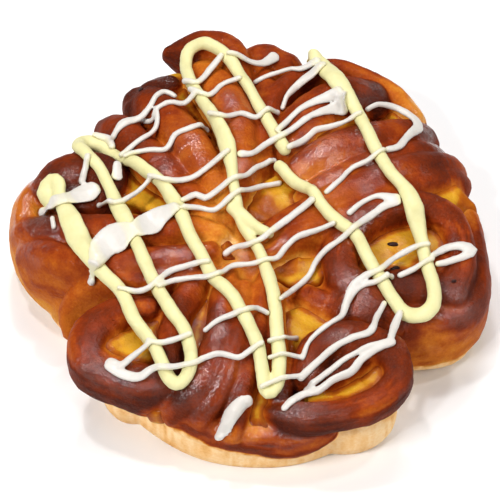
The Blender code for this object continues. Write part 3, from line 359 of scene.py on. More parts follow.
# The pale foot: height of its upper edge, at the back and as more at the front
FOOT_EDGE, FOOT_EDGE_FRONT = 4.0, 5.5
FRONT = 40.0  # the front counts in full from this far out
FOOT_RAGGED = [(0.8, 8.0, 3), (0.5, 2.5, 4)]
FOOT_RISES = [(4.0, -21.0, 14.0), (6.0, 30.0, 9.0)]  # rise of the edge at the front, its x, its reach
FOOT_FADE = 0.7
FOOT_LEVEL, FOOT_SLANT = 0.09, 1000  # paler to the right, by 1 in this many millimetres
FOOT_TAN, FOOT_TAN_DEPTH = 0.15, 2.6  # browner under its edge
FOOT_STREAKS = [(0.1, 0.9, 70)]
FOOT_STREAK_STRETCH = (1.0, 1.0, 0.12)
FOOT_BLOTCHES = [(0.05, 3.0, 71)]
FOOT_RANGE = (0.02, 0.3)

# Glaze: places (x, y, reach) where it lies thick, and how strong it is there
GLOSSY = [
    (-36, -42, 8), (-10, -45, 7), (18.5, 26, 8), (-18.5, 31.5, 6), (30, 2, 6), (28, -16, 6),
    (10, -52, 7), (-58, 12, 9), (-18, -8, 6), (55, -20, 6), (35, 26, 6), (-6, 45, 6),
]
GLOSS = 1.4
GLAZE_PATCHES = [(3.0, 8.0, 50)]
GLAZE_BARE = 1.0  # what the patches fall short by
GLAZE_UPWARD = (0.125, 0.625)
GLAZE_LEAST, GLAZE_THIN, GLAZE_THICK = 0.02, 0.03, 0.9

# Colours by level: position, (r, g, b)
CRUST = [
    (0.0, (0.93, 0.66, 0.36)),
    (0.14, (0.85, 0.5, 0.2)),
    (0.3, (0.62, 0.25, 0.03)),
    (0.45, (0.5, 0.135, 0.012)),
    (0.6, (0.34, 0.062, 0.006)),
    (0.74, (0.22, 0.028, 0.004)),
    (0.87, (0.13, 0.018, 0.004)),
    (1.0, (0.065, 0.012, 0.006)),
]
CUSTARD_COLOURS = [
    (0.32, (0.58, 0.295, 0.018)),
    (0.5, (0.5, 0.21, 0.012)),
    (0.65, (0.38, 0.1, 0.005)),
    (1.0, (0.2, 0.028, 0.004)),
]
YELLOW_COLOURS = [
    (0.3, (0.66, 0.61, 0.3)),
    (0.7, (0.7, 0.655, 0.35)),
]
WHITE_COLOURS = [
    (0.0, (0.61, 0.575, 0.53)),
    (1.0, (0.7, 0.66, 0.45)),
]

FLOOR_SIZE = 3.0  # metres
# Lights: place and size in metres, watts
LIGHTS = {
    "key": ((-0.55, -0.45, 0.75), 0.22, 5.2),
    "fill": ((0.7, -0.35, 0.6), 0.4, 3.2),
    "top": ((0.05, 0.35, 0.95), 0.35, 2.6),
    "glint_high": ((-0.2, 0.15, 0.95), 0.07, 2.2),
    "glint_right": ((0.35, 0.05, 0.9), 0.06, 1.2),
    "glint_front": ((-0.3, -0.5, 0.75), 0.06, 1.8),
    "glint_back": ((-0.05, 0.6, 0.75), 0.07, 1.6),
}
WORLD_STRENGTH = 0.12


def in_scene(name, data):
    """A new object of the scene that holds this data."""
    made = bpy.data.objects.new(name, data)
    bpy.context.scene.collection.objects.link(made)
    return made


def mesh_object(name, shape):
    """An object that holds the bmesh, which is used up."""
    mesh = bpy.data.meshes.new(name)
    shape.to_mesh(mesh)
    shape.free()
    return in_scene(name, mesh)


def curve_to_mesh(curve):
    """Replaces a curve object by a mesh object of the same name, with its caps welded."""
    name = curve.name
    bpy.context.view_layer.update()
    graph = bpy.context.evaluated_depsgraph_get()
    mesh = bpy.data.meshes.new_from_object(curve.evaluated_get(graph))
    mesh.transform(curve.matrix_world)
    shape = bmesh.new()
    shape.from_mesh(mesh)
    bpy.data.objects.remove(curve)
    bpy.data.meshes.remove(mesh)
    bmesh.ops.remove_doubles(shape, verts=shape.verts, dist=0.001 * MM)
    bmesh.ops.recalc_face_normals(shape, faces=shape.faces)
    return mesh_object(name, shape)


def apply_modifiers(obj):
    graph = bpy.context.evaluated_depsgraph_get()
    mesh = bpy.data.meshes.new_from_object(obj.evaluated_get(graph))
    obj.modifiers.clear()
    obj.data = mesh


def smooth_path(points, step):
    """Points about `step` apart on the smooth curve (Catmull-Rom) that runs through `points`."""
    points = np.array(points, float)
    padded = np.vstack([2 * points[0] - points[1], points, 2 * points[-1] - points[-2]])
    path = []
    for i in range(len(points) - 1):
        a, b, c, d = padded[i:i + 4]
        count = max(1, round(np.linalg.norm((c - b)[:3]) / step))
        for t in np.arange(count) / count:
            path.append(0.5 * (2 * b + (c - a) * t + (2 * a - 5 * b + 4 * c - d) * t**2
                               + (3 * b - a - 3 * c + d) * t**3))
    path.append(points[-1])
    return np.array(path)


def rounded_ends(path, half_width, nose):
    """Adds shrinking sections past both ends of a path, so that the sweep closes in a round nose."""
    ends = []
    for end, inner in ((path[0], path[1]), (path[-1], path[-2])):
        along = (end - inner)[:3]
        along /= np.linalg.norm(along)
        extra = []
        for reach, size in nose:
            extra.append([*(end[:3] + along * reach * half_width * end[3]), end[3] * size])
        ends.append(extra)
    return np.vstack([ends[0][::-1], path, ends[1]])


def oval_profile(width, height, sides, squareness):
    """A closed squarish oval for a curve's bevel: its X is across the path and its Y is up.

    The squareness is that of its upper half; the lower half is rounder.
    """
    data = bpy.data.curves.new("oval", "CURVE")
    data.dimensions = "2D"
    data.resolution_u = sides // 4
    spline = data.splines.new("BEZIER")
    spline.bezier_points.add(3)
    half_w, half_h = width / 2 * MM, height / 2 * MM
    upper, lower = squareness, min(squareness, LOWER_SQUARENESS)
    # Each corner: its place, then its handles
    corners = [
        ((half_w, 0), (half_w, -lower * half_h), (half_w, upper * half_h)),
        ((0, half_h), (upper * half_w, half_h), (-upper * half_w, half_h)),
        ((-half_w, 0), (-half_w, upper * half_h), (-half_w, -lower * half_h)),
        ((0, -half_h), (-lower * half_w, -half_h), (lower * half_w, -half_h)),
    ]
    for point, (place, before, after) in zip(spline.bezier_points, corners):
        point.co = (*place, 0)
        point.handle_left = (*before, 0)
        point.handle_right = (*after, 0)
    spline.use_cyclic_u = True
    return bpy.data.objects.new("oval", data)


def swept_strip(name, width, height, path, sides, nose, squareness):
    """A closed solid: an oval section swept along centre points (x, y, z, section scale)."""
    profile = oval_profile(width, height, sides, squareness)
    data = bpy.data.curves.new(name, "CURVE")
    data.dimensions = "3D"
    data.twist_mode = "Z_UP"
    data.bevel_mode = "OBJECT"
    data.bevel_object = profile
    data.use_fill_caps = True
    path = rounded_ends(path, width / 2, nose)
    spline = data.splines.new("POLY")
    spline.points.add(len(path) - 1)
    for point, (x, y, z, scale) in zip(spline.points, path):
        point.co = (x * MM, y * MM, z * MM, 1.0)
        point.radius = scale
    made = curve_to_mesh(in_scene(name, data))
    bpy.data.objects.remove(profile)
    return made


def scaled(x, y, z, scale=1):
    return x, y, z, scale


def under_crest(points, step, height):
    """The centre line of a strip of this height that has its top on the crest line."""
    path = smooth_path([scaled(*point) for point in points], step)
    path[:, 2] -= path[:, 3] * height / 2
    return path


def dome(centre, radii):
    shape = bmesh.new()
    bmesh.ops.create_uvsphere(shape, u_segments=64, v_segments=32, radius=1.0)
    for vert in shape.verts:
        vert.co = Vector(c + r * v for c, r, v in zip(centre, radii, vert.co)) * MM
    return mesh_object("dome", shape)


def base_slab():
    """The pale underside: a puffy slab inside a smooth closed outline."""
    data = bpy.data.curves.new("base", "CURVE")
    data.dimensions = "2D"
    data.fill_mode = "BOTH"
    data.resolution_u = 10
    data.extrude = (BASE_TOP - BASE_BOTTOM) / 2 * MM - BASE_EDGE * MM
    data.bevel_depth = BASE_EDGE * MM
    data.bevel_resolution = 6
    spline = data.splines.new("BEZIER")
    spline.bezier_points.add(len(BASE_RADII) - 1)
    for i, (point, radius) in enumerate(zip(spline.bezier_points, BASE_RADII)):
        angle = math.tau * i / len(BASE_RADII)
        x = BASE_CENTRE[0] + (radius - BASE_EDGE) * math.cos(angle)
        y = BASE_CENTRE[1] + (radius - BASE_EDGE) * math.sin(angle)
        point.co = (x * MM, y * MM, 0)
        point.handle_left_type = "AUTO"
        point.handle_right_type = "AUTO"
    spline.use_cyclic_u = True
    curve = in_scene("base", data)
    curve.location.z = (BASE_TOP + BASE_BOTTOM) / 2 * MM
    return curve_to_mesh(curve)


def fused(name, pieces, voxel, smoothing):
    """One closed skin round overlapping solids, which are used up."""
    shape = bmesh.new()
    for piece in pieces:
        shape.from_mesh(piece.data)
        bpy.data.objects.remove(piece)
    obj = mesh_object(name, shape)
    skin = obj.modifiers.new("Remesh", "REMESH")
    skin.mode = "VOXEL"
    skin.voxel_size = voxel * MM
    soften = obj.modifiers.new("Smooth", "SMOOTH")
    soften.factor = 0.5
    soften.iterations = smoothing
    apply_modifiers(obj)
    obj.data.shade_smooth()
    return obj


def cut_flat(obj):
    """Cuts the solid at the floor and closes it with one flat face."""
    shape = bmesh.new()
    shape.from_mesh(obj.data)
    geometry = shape.verts[:] + shape.edges[:] + shape.faces[:]
    cut = bmesh.ops.bisect_plane(shape, geom=geometry, plane_co=(0, 0, 0), plane_no=(0, 0, -1),
                                 clear_outer=True)
    rim = [piece for piece in cut["geom_cut"] if isinstance(piece, bmesh.types.BMEdge)]
    bmesh.ops.contextual_create(shape, geom=rim)
    shape.to_mesh(obj.data)
    shape.free()


def of_vertices(obj, key):
    values = np.empty(len(obj.data.vertices) * 3)
    obj.data.vertices.foreach_get(key, values)
    return values.reshape(-1, 3)


def coordinates(obj):
    """A mesh's vertices in millimetres."""
    return of_vertices(obj, "co") / MM


def normals(obj):
    return of_vertices(obj, "normal")


def set_coordinates(obj, points):
    obj.data.vertices.foreach_set("co", (points * MM).ravel())
    obj.data.update()


def set_attribute(obj, name, values):
    layer = obj.data.attributes.new(name, "FLOAT", "POINT")
    layer.data.foreach_set("value", np.asarray(values, np.float32))


def noise(points, size, seed):
    """Smooth noise from -1 to 1 with lumps of this size in millimetres."""
    grid = np.random.default_rng(seed).uniform(-1, 1, (32, 32, 32))
    scaled = points / size
    cell = np.floor(scaled).astype(int)
    share = scaled - cell
    share = share * share * (3 - 2 * share)
    total = np.zeros(len(points))
    for corner in np.ndindex(2, 2, 2):
        at = (cell + corner) % 32
        weight = np.prod(np.where(corner, share, 1 - share), axis=1)
        total += weight * grid[at[:, 0], at[:, 1], at[:, 2]]
    return total


def lumps(points, layers):
    """The sum of layers of noise, each (depth, size, seed)."""
    return sum(depth * noise(points, size, seed) for depth, size, seed in layers)


def rising(values, start, length):
    """0 up to the start, rising to 1 over this length."""
    return np.clip((values - start) / length, 0, 1)


def lift_lumps(obj, layers, share=1.0):
    """Moves the surface in and out by the layers of noise."""
    points = coordinates(obj)
    lift = lumps(points, layers) * share
    set_coordinates(obj, points + normals(obj) * lift[:, None])


def surface_of(objects):
    """A search tree over the faces of several solids."""
    verts, faces = [], []
    for obj in objects:
        first = len(verts)
        verts.extend(vert.co.copy() for vert in obj.data.vertices)
        faces.extend([first + i for i in face.vertices] for face in obj.data.polygons)
    return BVHTree.FromPolygons(verts, faces)


def height_at(surface, x, y):
    """Height of a surface above the floor at a point seen from above."""
    hit = surface.ray_cast(Vector((x * MM, y * MM, 1.0)), Vector((0, 0, -1)))[0]
    return hit.z / MM if hit else 0.0


def resting_height(grounds, x, y, reach):
    """Lowest that an icing's underside may lie over its grounds, (surface, lift) pairs, near a point."""
    heights = []
    for dx, dy in ((0, 0), (reach, 0), (-reach, 0), (0, reach), (0, -reach)):
        for surface, lift in grounds:
            heights.append(height_at(surface, x + dx, y + dy) + lift)
    return max(heights)


def hang(heights):
    """Lifts a line of heights so that it spans hollows like a slack cord."""
    for _ in range(HANG_PASSES):
        middle = (heights[:-2] + heights[2:]) / 2 - SAG * ICING_STEP**2
        heights[1:-1] = np.maximum(heights[1:-1], middle)
    return heights


def directions(path):
    """Unit vectors along a path, seen from above."""
    along = np.gradient(path[:, :2], axis=0)
    return along / np.linalg.norm(along, axis=1)[:, None]


def icing_line(name, points, style, grounds):
    """One stroke of icing draped over the grounds: its sections tilt and bow to lie on them."""
    width, thickness, _ = style
    path = smooth_path([scaled(x, y, 0, *scale) for x, y, *scale in points], ICING_STEP)
    along = directions(path)
    half = path[:, 3] * width / 2
    rails = []
    for side in (-RAIL, 0.0, RAIL):
        x = path[:, 0] - along[:, 1] * half * side
        y = path[:, 1] + along[:, 0] * half * side
        heights = [resting_height(grounds, a, b, TOUCH * width) for a, b in zip(x, y)]
        rails.append(hang(np.array(heights)))
    right, middle, left = rails
    tilt = (left - right) / (2 * RAIL * half)
    steep = np.minimum(np.hypot(1.0, np.gradient(middle) / ICING_STEP), STEEPEST)
    path[:, 2] = middle + thickness / 2 * np.minimum(steep * np.hypot(1.0, tilt), STEEPEST)
    bow = ((left + right) / 2 - middle) / (RAIL * half) ** 2
    bow[half <= width] = 0.0  # only a puddle bows
    sections = []
    for point, direction, height, slope, bend in zip(path, along, steep, tilt, bow):
        sections.append((point[:3], direction, point[3], height, slope, bend))
    first = icing_end(sections[0], -1, width)
    last = icing_end(sections[-1], 1, width)
    return icing_strip(name, width, thickness, [*first[::-1], *sections, *last])


def icing_end(section, side, width):
    """Smaller and smaller sections past an end section, for a round nose."""
    centre, direction, scale, height, slope, bend = section
    made = []
    for reach, size in ICING_NOSE:
        shift = side * reach * min(scale, WIDEST_NOSE) * width / 2
        moved = centre + shift * np.array([*direction, 0.0])
        made.append((moved, direction, scale * size, height * size, slope, bend))
    return made


def icing_strip(name, width, thickness, sections):
    """A closed strip lofted through unlike sections.

    Each section is (centre, direction, width scale, height scale, slope across, bend across).
    """
    shape = bmesh.new()
    rings = []
    for (x, y, z), (dx, dy), scale, size, slope, bend in sections:
        ring = []
        cosine = 1 / math.hypot(1, slope)
        for k in range(ICING_SIDES):
            angle = math.tau * (k + 0.5) / ICING_SIDES
            across = math.cos(angle) * scale * width / 2
            rise = math.sin(angle) * size * thickness / 2 + bend * across**2
            out = (across - slope * rise) * cosine
            up = (slope * across + rise) * cosine
            ring.append(shape.verts.new(Vector((x - dy * out, y + dx * out, z + up)) * MM))
        rings.append(ring)
    for near, far in zip(rings, rings[1:]):
        for k in range(ICING_SIDES):
            after = (k + 1) % ICING_SIDES
            shape.faces.new((near[k], far[k], far[after], near[after]))
    shape.faces.new(rings[0])
    shape.faces.new(rings[-1][::-1])
    return mesh_object(name, shape)


def make_dough():
    pieces = [base_slab()]
    for centre, radii in CORES:
        pieces.append(dome(centre, radii))
    for name, (width, height, _, points) in STRANDS.items():
        path = under_crest(points, DOUGH_STEP, height)
        squareness = COIL_SQUARENESS if name in COILS else DOUGH_SQUARENESS
        pieces.append(swept_strip(name, width, height, path, DOUGH_SIDES, DOUGH_NOSE, squareness))
    bread = fused("dough", pieces, DOUGH_VOXEL, DOUGH_SMOOTHING)
    lift_lumps(bread, DOUGH_LUMPS, rising(coordinates(bread)[:, 2], 0, LUMPY_FROM))
    cut_flat(bread)
    return bread


def near_strand(points, width, height, table):
    """How each point lies on a strand, for the points near it.

    Gives their indices, their distance from the centre line where 1 is the strand's surface, the
    share of the strand's length, the height in the section from -1 to 1, and the side that faces
    away from the hub, from -1 to 1.
    """
    path = under_crest(table, LOOK_STEP, height)
    axes = np.array([width, width, height]) / 2
    reach = width * path[:, 3].max()
    low = path[:, :3].min(axis=0) - reach
    high = path[:, :3].max(axis=0) + reach
    low[2], high[2] = FLOOR_AND_CEILING
    near = np.nonzero(((points > low) & (points < high)).all(axis=1))[0]
    offset = points[near][:, None, :] - path[None, :, :3]
    offset /= axes * path[None, :, 3:4]
    distance = np.sqrt((offset**2).sum(axis=2))
    best = distance.argmin(axis=1)
    distance = distance[np.arange(len(near)), best]
    ahead = np.gradient(path[:, :3], axis=0)
    ahead /= np.linalg.norm(ahead, axis=1)[:, None]
    offset = points[near] - path[best, :3]
    along = (offset * ahead[best]).sum(axis=1)
    offset -= along[:, None] * ahead[best]
    offset /= axes * path[best, 3:4]
    share = (best + along / LOOK_STEP) / (len(path) - 1)
    centre = path[best, :2]
    outward = (offset[:, :2] * centre).sum(axis=1) / np.linalg.norm(centre, axis=1)
    return near, distance, share, offset[:, 2], outward


def drawn_out(along, round_it, width):
    """Streaks that run along a strand, from the place along it and the angle round its section."""
    across = round_it * width / 2
    streak = 0.0
    for strength, rate, size, seed in STREAKS:
        where = np.column_stack([along * rate, across / size, across * 0])
        streak = streak + strength * noise(where, 1.0, seed)
    return streak


def strand_brown(browns, rimmed, share, rise, outward):
    """How brown a strand is, by the share of its length and the place round its section."""
    brown = np.interp(share, np.linspace(0, 1, len(browns)), browns)
    flank = np.clip(1 - rise, 0, FLANK_END)
    if not rimmed:
        return brown - FLANK_PALING * flank
    rim = sum(amount * rising(flank, start, length) for amount, start, length in RIM_BROWNING)
    return brown + rim * rising(outward, 0, 0.5)


def paint_of_strands(points):
    """How brown and how streaked each point is by the strands round it."""
    weight = np.full(len(points), CORE_WEIGHT)
    level = CORE_LEVEL * weight
    streaks = np.zeros(len(points))
    for name, (width, height, browns, table) in STRANDS.items():
        near, distance, share, rise, outward = near_strand(points, width, height, table)
        streak = drawn_out(share * len(browns), np.arctan2(outward, rise), width)
        fit = np.exp(-SHARPNESS * distance)
        streaks[near] += fit * streak
        brown = strand_brown(browns, name in RIMMED, share, rise, outward)
        level[near] += fit * (brown + STREAK_BROWNING * streak)
        weight[near] += fit
    return level / weight, streaks / weight


def paint_of_foot(points):
    """How far each point belongs to the pale foot, and how brown it is there."""
    x, y, z = points.T
    front = rising(-y, 0, FRONT)
    edge = FOOT_EDGE + FOOT_EDGE_FRONT * front + lumps(points, FOOT_RAGGED)
    for rise, middle, reach in FOOT_RISES:
        edge += rise * front * np.exp(-((x - middle) / reach) ** 2)
    below = edge - z
    pale = FOOT_LEVEL - x / FOOT_SLANT + FOOT_TAN * (1 - rising(below, 0, FOOT_TAN_DEPTH))
    pale += lumps(points * FOOT_STREAK_STRETCH, FOOT_STREAKS) + lumps(points, FOOT_BLOTCHES)
    return rising(below, 0, FOOT_FADE), np.clip(pale, *FOOT_RANGE)


def glaze_on(points, upward):
    """How thick the glaze lies: in patches, on what faces up."""
    patch = lumps(points, GLAZE_PATCHES) - GLAZE_BARE
    for x, y, reach in GLOSSY:
        far = ((points[:, :2] - (x, y)) ** 2).sum(axis=1)
        patch = np.maximum(patch, GLOSS * np.exp(-far / reach**2))
    patch = np.clip(patch, 0, 1)
    return GLAZE_LEAST + rising(upward, *GLAZE_UPWARD) * (GLAZE_THIN + GLAZE_THICK * patch)


def paint_dough(bread, fillings):
    """Stores how brown, streaked, glazed and porous each point of the dough is."""
    points = coordinates(bread)
    level, streaks = paint_of_strands(points)
    level += lumps(points, BLOTCHES)
    level += DARK_BROWNING * rising(level, DARK, DARK_RANGE)
    filling = closeness(points, fillings, CHAR)
    charred = rising(filling, 0, 0.5) * rising(level, DARK, CHAR_RANGE)
    level += CHARRING * charred
    level -= BLUSHING * rising(filling, 1 - BLUSH / CHAR, BLUSH / CHAR) * level
    foot, pale = paint_of_foot(points)
    level = level * (1 - foot) + pale * foot
    set_attribute(bread, "bake", np.clip(level, 0, 1))
    set_attribute(bread, "streaks", streaks * (1 - foot))
    set_attribute(bread, "glaze", glaze_on(points, normals(bread)[:, 2]))
    set_attribute(bread, "pores", np.clip(charred + (level - PORES_FROM) * PORES_RATE, 0, 1))


def closeness(points, objects, reach):
    """1 on the surface of the objects, falling to 0 at this distance from them and inside them."""
    surface = surface_of(objects)
    near = np.zeros(len(points))
    for i, point in enumerate(points):
        found = surface.find_nearest(Vector(point) * MM, reach * MM)
        if found[0] is not None:
            near[i] = 1.0 - found[3] / MM / reach
    return near


def make_custards():
    """One filling for each of the part's custard nodes, which it has the name and the place of."""
    made = {}
    for number, (name, (width, height, points)) in enumerate(CUSTARDS.items()):
        path = under_crest(points, CUSTARD_STEP, height)
        name = "custard_" + name
        strip = swept_strip(name, width, height, path, CUSTARD_SIDES, CUSTARD_NOSE, CUSTARD_SQUARENESS)
        filling = fused(name + "_filling", [strip], CUSTARD_VOXEL, CUSTARD_SMOOTHING)
        sink_middle(filling, smooth_path(path, DISH_STEP), width / 2)
        lift_lumps(filling, [(depth, size, seed + number) for depth, size, seed in CUSTARD_LUMPS])
        made[name] = filling
    return made


def sink_middle(filling, path, half_width):
    """Dishes the top of a filling along its centre line."""
    points = coordinates(filling)
    tree = KDTree(len(path))
    for i, (x, y, _, _) in enumerate(path):
        tree.insert((x, y, 0), i)
    tree.balance()
    found = [tree.find((x, y, 0)) for x, y, _ in points]
    best = [index for _, index, _ in found]
    share = np.array([distance for _, _, distance in found]) / (half_width * path[best, 3])
    upward = rising(normals(filling)[:, 2], *DISH_UPWARD)
    points[:, 2] -= DISH * path[best, 3] * np.clip(1 - share**2, 0, 1) * upward
    set_coordinates(filling, points)


def make_icing(name, lines, style, grounds):
    strokes = [icing_line(f"{name}_{i}", points, style, grounds) for i, points in enumerate(lines)]
    layer = fused(name, strokes, ICING_VOXEL, ICING_SMOOTHING)
    lift_lumps(layer, ICING_LUMPS)
    return layer


def make_crumbs(ground):
    """Burnt crumbs that lie on the custard and the crust."""
    shape = bmesh.new()
    for x, y, length, width, turn in CRUMBS:
        z = height_at(ground, x, y) + CRUMB_LIFT
        size = Matrix.Diagonal((length / 2, width / 2, CRUMB_THICKNESS / 2, 1))
        place = Matrix.Translation((x, y, z)) @ Matrix.Rotation(math.radians(turn), 4, "Z") @ size
        bmesh.ops.create_icosphere(shape, subdivisions=4, radius=1.0, matrix=place)
    for vert in shape.verts:
        vert.co *= MM
    crumbs = mesh_object("burnt_crumbs", shape)
    lift_lumps(crumbs, CRUMB_LUMPS)
    crumbs.data.shade_smooth()
    return crumbs


def node(tree, kind, **values):
    """A shader node with its properties and unlinked inputs set."""
    made = tree.nodes.new(kind)
    for key, value in values.items():
        if hasattr(made, key):
            setattr(made, key, value)
        else:
            made.inputs[key.replace("_", " ")].default_value = value
    return made


def new_material(name, **values):
    """A Principled material: the shader's own sockets are set from values. Returns its tree and shader."""
    made = bpy.data.materials.new(name)
    made.use_nodes = True
    shader = made.node_tree.nodes["Principled BSDF"]
    for key, value in values.items():
        shader.inputs[key.replace("_", " ")].default_value = value
    return made, made.node_tree, shader


def ramp(tree, source, stops):
    """A colour ramp: stops are (position, (r, g, b))."""
    made = tree.nodes.new("ShaderNodeValToRGB")
    elements = made.color_ramp.elements
    elements[0].position = stops[0][0]
    elements[0].color = (*stops[0][1], 1)
    elements[1].position = stops[-1][0]
    elements[1].color = (*stops[-1][1], 1)
    for position, colour in stops[1:-1]:
        element = elements.new(position)
        element.color = (*colour, 1)
    tree.links.new(source, made.inputs["Fac"])
    return made.outputs["Color"]


def attribute(tree, name):
    made = tree.nodes.new("ShaderNodeAttribute")
    made.attribute_name = name
    return made.outputs["Fac"]


def noise_texture(tree, size, detail=3.0, roughness=0.55, stretch=(1, 1, 1)):
    """Noise with lumps of this size in millimetres, in the part's own coordinates."""
    place = node(tree, "ShaderNodeTexCoord")
    mapping = node(tree, "ShaderNodeMapping")
    mapping.inputs["Scale"].default_value = stretch
    tree.links.new(place.outputs["Object"], mapping.inputs["Vector"])
    made = node(tree, "ShaderNodeTexNoise", Scale=1 / (size * MM), Detail=detail, Roughness=roughness)
    tree.links.new(mapping.outputs["Vector"], made.inputs["Vector"])
    return made.outputs["Fac"]


def maths(tree, operation, first, second):
    made = node(tree, "ShaderNodeMath", operation=operation)
    for socket, value in zip(made.inputs, (first, second)):
        if isinstance(value, (int, float)):
            socket.default_value = value
        else:
            tree.links.new(value, socket)
    return made.outputs[0]


def bump(tree, height, depth, normal=None):
    """A bump of this depth in millimetres at a height of 1."""
    made = node(tree, "ShaderNodeBump", Strength=1.0, Distance=depth * MM)
    tree.links.new(height, made.inputs["Height"])
    if normal:
        tree.links.new(normal, made.inputs["Normal"])
    return made.outputs["Normal"]


def dough_material():
    """A baked crust: brown by level, with a patchy glaze that a fine grain breaks into glints."""
    made, tree, shader = new_material("baked_dough", Roughness=0.5, Specular_IOR_Level=0.03,
                                      Coat_Roughness=0.06, Coat_IOR=1.65)
    level = attribute(tree, "bake")
    for size, amount in ((4.0, 0.2), (0.7, 0.22)):
        even = maths(tree, "SUBTRACT", noise_texture(tree, size), 0.5)
        level = maths(tree, "ADD", level, maths(tree, "MULTIPLY", even, amount))
    tree.links.new(ramp(tree, level, CRUST), shader.inputs["Base Color"])
    pores = maths(tree, "MULTIPLY", noise_texture(tree, 0.8, detail=4.0), attribute(tree, "pores"))
    fine = bump(tree, noise_texture(tree, 0.7, detail=4.0), 0.16)
    fine = bump(tree, attribute(tree, "streaks"), 0.3, fine)
    crust = bump(tree, noise_texture(tree, 3.0), 0.35, bump(tree, pores, 0.35, fine))
    tree.links.new(crust, shader.inputs["Normal"])
    grain = bump(tree, noise_texture(tree, 0.75, detail=0.0), 0.08, crust)
    tree.links.new(grain, shader.inputs["Coat Normal"])
    tree.links.new(attribute(tree, "glaze"), shader.inputs["Coat Weight"])
    return made


def custard_material():
    made, tree, shader = new_material("custard", Roughness=0.5, Specular_IOR_Level=0.03, Coat_Weight=0.15,
                                      Coat_Roughness=0.06, Subsurface_Weight=0.1,
                                      Subsurface_Scale=0.003,
                                      Subsurface_Radius=(1.0, 0.5, 0.1))
    blotch = maths(tree, "MULTIPLY", noise_texture(tree, 4.0), 0.8)
    level = maths(tree, "ADD", blotch, maths(tree, "MULTIPLY", attribute(tree, "edge"), 0.55))
    tree.links.new(ramp(tree, level, CUSTARD_COLOURS), shader.inputs["Base Color"])
    tree.links.new(bump(tree, noise_texture(tree, 2.0), 0.5), shader.inputs["Normal"])
    grain = bump(tree, noise_texture(tree, 1.0), 0.15)
    tree.links.new(grain, shader.inputs["Coat Normal"])
    return made


def yellow_material():
    made, tree, shader = new_material("yellow_icing", Roughness=0.5, Specular_IOR_Level=0.2,
                                      Coat_Weight=0.1, Coat_Roughness=0.3)
    tree.links.new(ramp(tree, noise_texture(tree, 3.0), YELLOW_COLOURS), shader.inputs["Base Color"])
    tree.links.new(bump(tree, noise_texture(tree, 0.8), 0.1), shader.inputs["Normal"])
    return made


def white_material():
    made, tree, shader = new_material("white_icing", Roughness=0.4, Specular_IOR_Level=0.3,
                                      Coat_Weight=0.2, Coat_Roughness=0.2, Subsurface_Weight=0.3,
                                      Subsurface_Scale=0.001,
                                      Subsurface_Radius=(1.0, 0.8, 0.7))
    tree.links.new(ramp(tree, attribute(tree, "on_yellow"), WHITE_COLOURS), shader.inputs["Base Color"])
    tree.links.new(bump(tree, noise_texture(tree, 0.8), 0.06), shader.inputs["Normal"])
    return made


def burnt_material():
    made, tree, shader = new_material("burnt", Roughness=0.4, Specular_IOR_Level=0.2,
                                      Base_Color=(0.022, 0.006, 0.005, 1))
    tree.links.new(bump(tree, noise_texture(tree, 0.5), 0.2), shader.inputs["Normal"])
    return made


def mark_on_yellow(white, yellow):
    """Stores how near each point of the white icing is to the yellow icing under it."""
    surface = surface_of([yellow])
    near = []
    for vert in white.data.vertices:
        distance = surface.find_nearest(vert.co)[3] / MM
        near.append(min(1.0, max(0.0, ON_YELLOW_REACH - distance)))
    set_attribute(white, "on_yellow", near)


def place(pieces, dough):
    """Moves the pieces into the frame: the dough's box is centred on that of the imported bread."""
    low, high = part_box("bread")
    own = coordinates(dough) * MM
    own_low, own_high = own.min(axis=0), own.max(axis=0)
    shift = Vector((
        (low.x + high.x - own_low[0] - own_high[0]) / 2,
        (low.y + high.y - own_low[1] - own_high[1]) / 2,
        low.z - own_low[2],
    ))
    for piece in pieces:
        points = coordinates(piece) + np.array(shift) / MM
        set_coordinates(piece, points)
    return shift


def make_floor():
    shape = bmesh.new()
    bmesh.ops.create_grid(shape, x_segments=1, y_segments=1, size=FLOOR_SIZE)
    floor = mesh_object("floor", shape)
    made, _, _ = new_material("floor", Roughness=0.6, Base_Color=(0.9, 0.9, 0.9, 1))
    floor.data.materials.append(made)


def aim(obj, target):
    """Turns a light or a camera towards the target."""
    obj.rotation_euler = (target - obj.location).to_track_quat("-Z", "Y").to_euler()


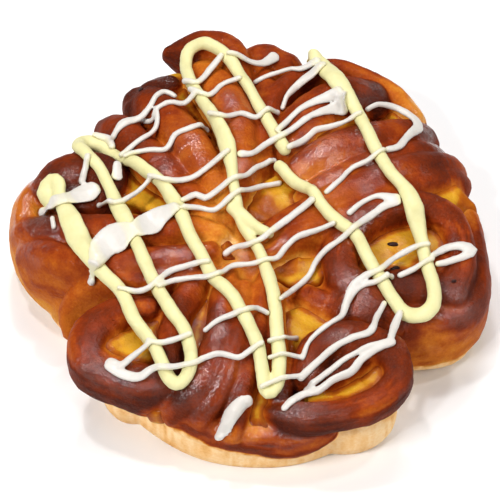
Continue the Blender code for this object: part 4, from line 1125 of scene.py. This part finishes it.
def area_light(name, location, size, energy, target):
    data = bpy.data.lights.new(name, "AREA")
    data.size = size
    data.energy = energy
    lamp = in_scene(name, data)
    lamp.location = location
    aim(lamp, target)


def make_lights(target):
    world = bpy.data.worlds.new("studio")
    world.use_nodes = True
    world.node_tree.nodes["Background"].inputs["Color"].default_value = (1, 1, 1, 1)
    world.node_tree.nodes["Background"].inputs["Strength"].default_value = WORLD_STRENGTH
    bpy.context.scene.world = world
    for name, (location, size, energy) in LIGHTS.items():
        area_light(name, Vector(location), size, energy, target)


def make_camera(shift):
    target = Vector(TARGET) * MM + shift
    data = bpy.data.cameras.new("camera")
    data.lens = LENS
    data.sensor_width = SENSOR
    camera = in_scene("camera", data)
    back = Vector((0, -math.cos(ELEVATION), math.sin(ELEVATION)))
    camera.location = target + back * DISTANCE * MM
    aim(camera, target)
    bpy.context.scene.camera = camera
    return target


def corners(box):
    return [list(corner) for corner in box]


def main():
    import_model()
    dough = make_dough()
    fillings = make_custards()
    paint_dough(dough, fillings.values())
    for filling in fillings.values():
        set_attribute(filling, "edge", closeness(coordinates(filling), [dough], EDGE_REACH))
    ground = surface_of([dough, *fillings.values()])
    yellow = make_icing("yellow_icing", YELLOW_LINES, YELLOW_ICING, [(ground, -YELLOW_ICING[2])])
    sunk = -WHITE_ICING[2]
    grounds = [(ground, sunk), (surface_of([yellow]), sunk)]
    white = make_icing("white_icing", WHITE_LINES, WHITE_ICING, grounds)
    mark_on_yellow(white, yellow)
    crumbs = make_crumbs(ground)
    shift = place([dough, yellow, white, crumbs, *fillings.values()], dough)

    dough.data.materials.append(dough_material())
    yellow.data.materials.append(yellow_material())
    white.data.materials.append(white_material())
    crumbs.data.materials.append(burnt_material())
    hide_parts("bread")
    custard = custard_material()
    for name, filling in fillings.items():
        filling.data.materials.append(custard)
        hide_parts(name)
    for piece in (dough, yellow, white, crumbs, *fillings.values()):
        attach(piece, "root")

    make_floor()
    target = make_camera(shift)
    make_lights(target)
    bpy.context.scene.view_settings.view_transform = "Standard"


main()
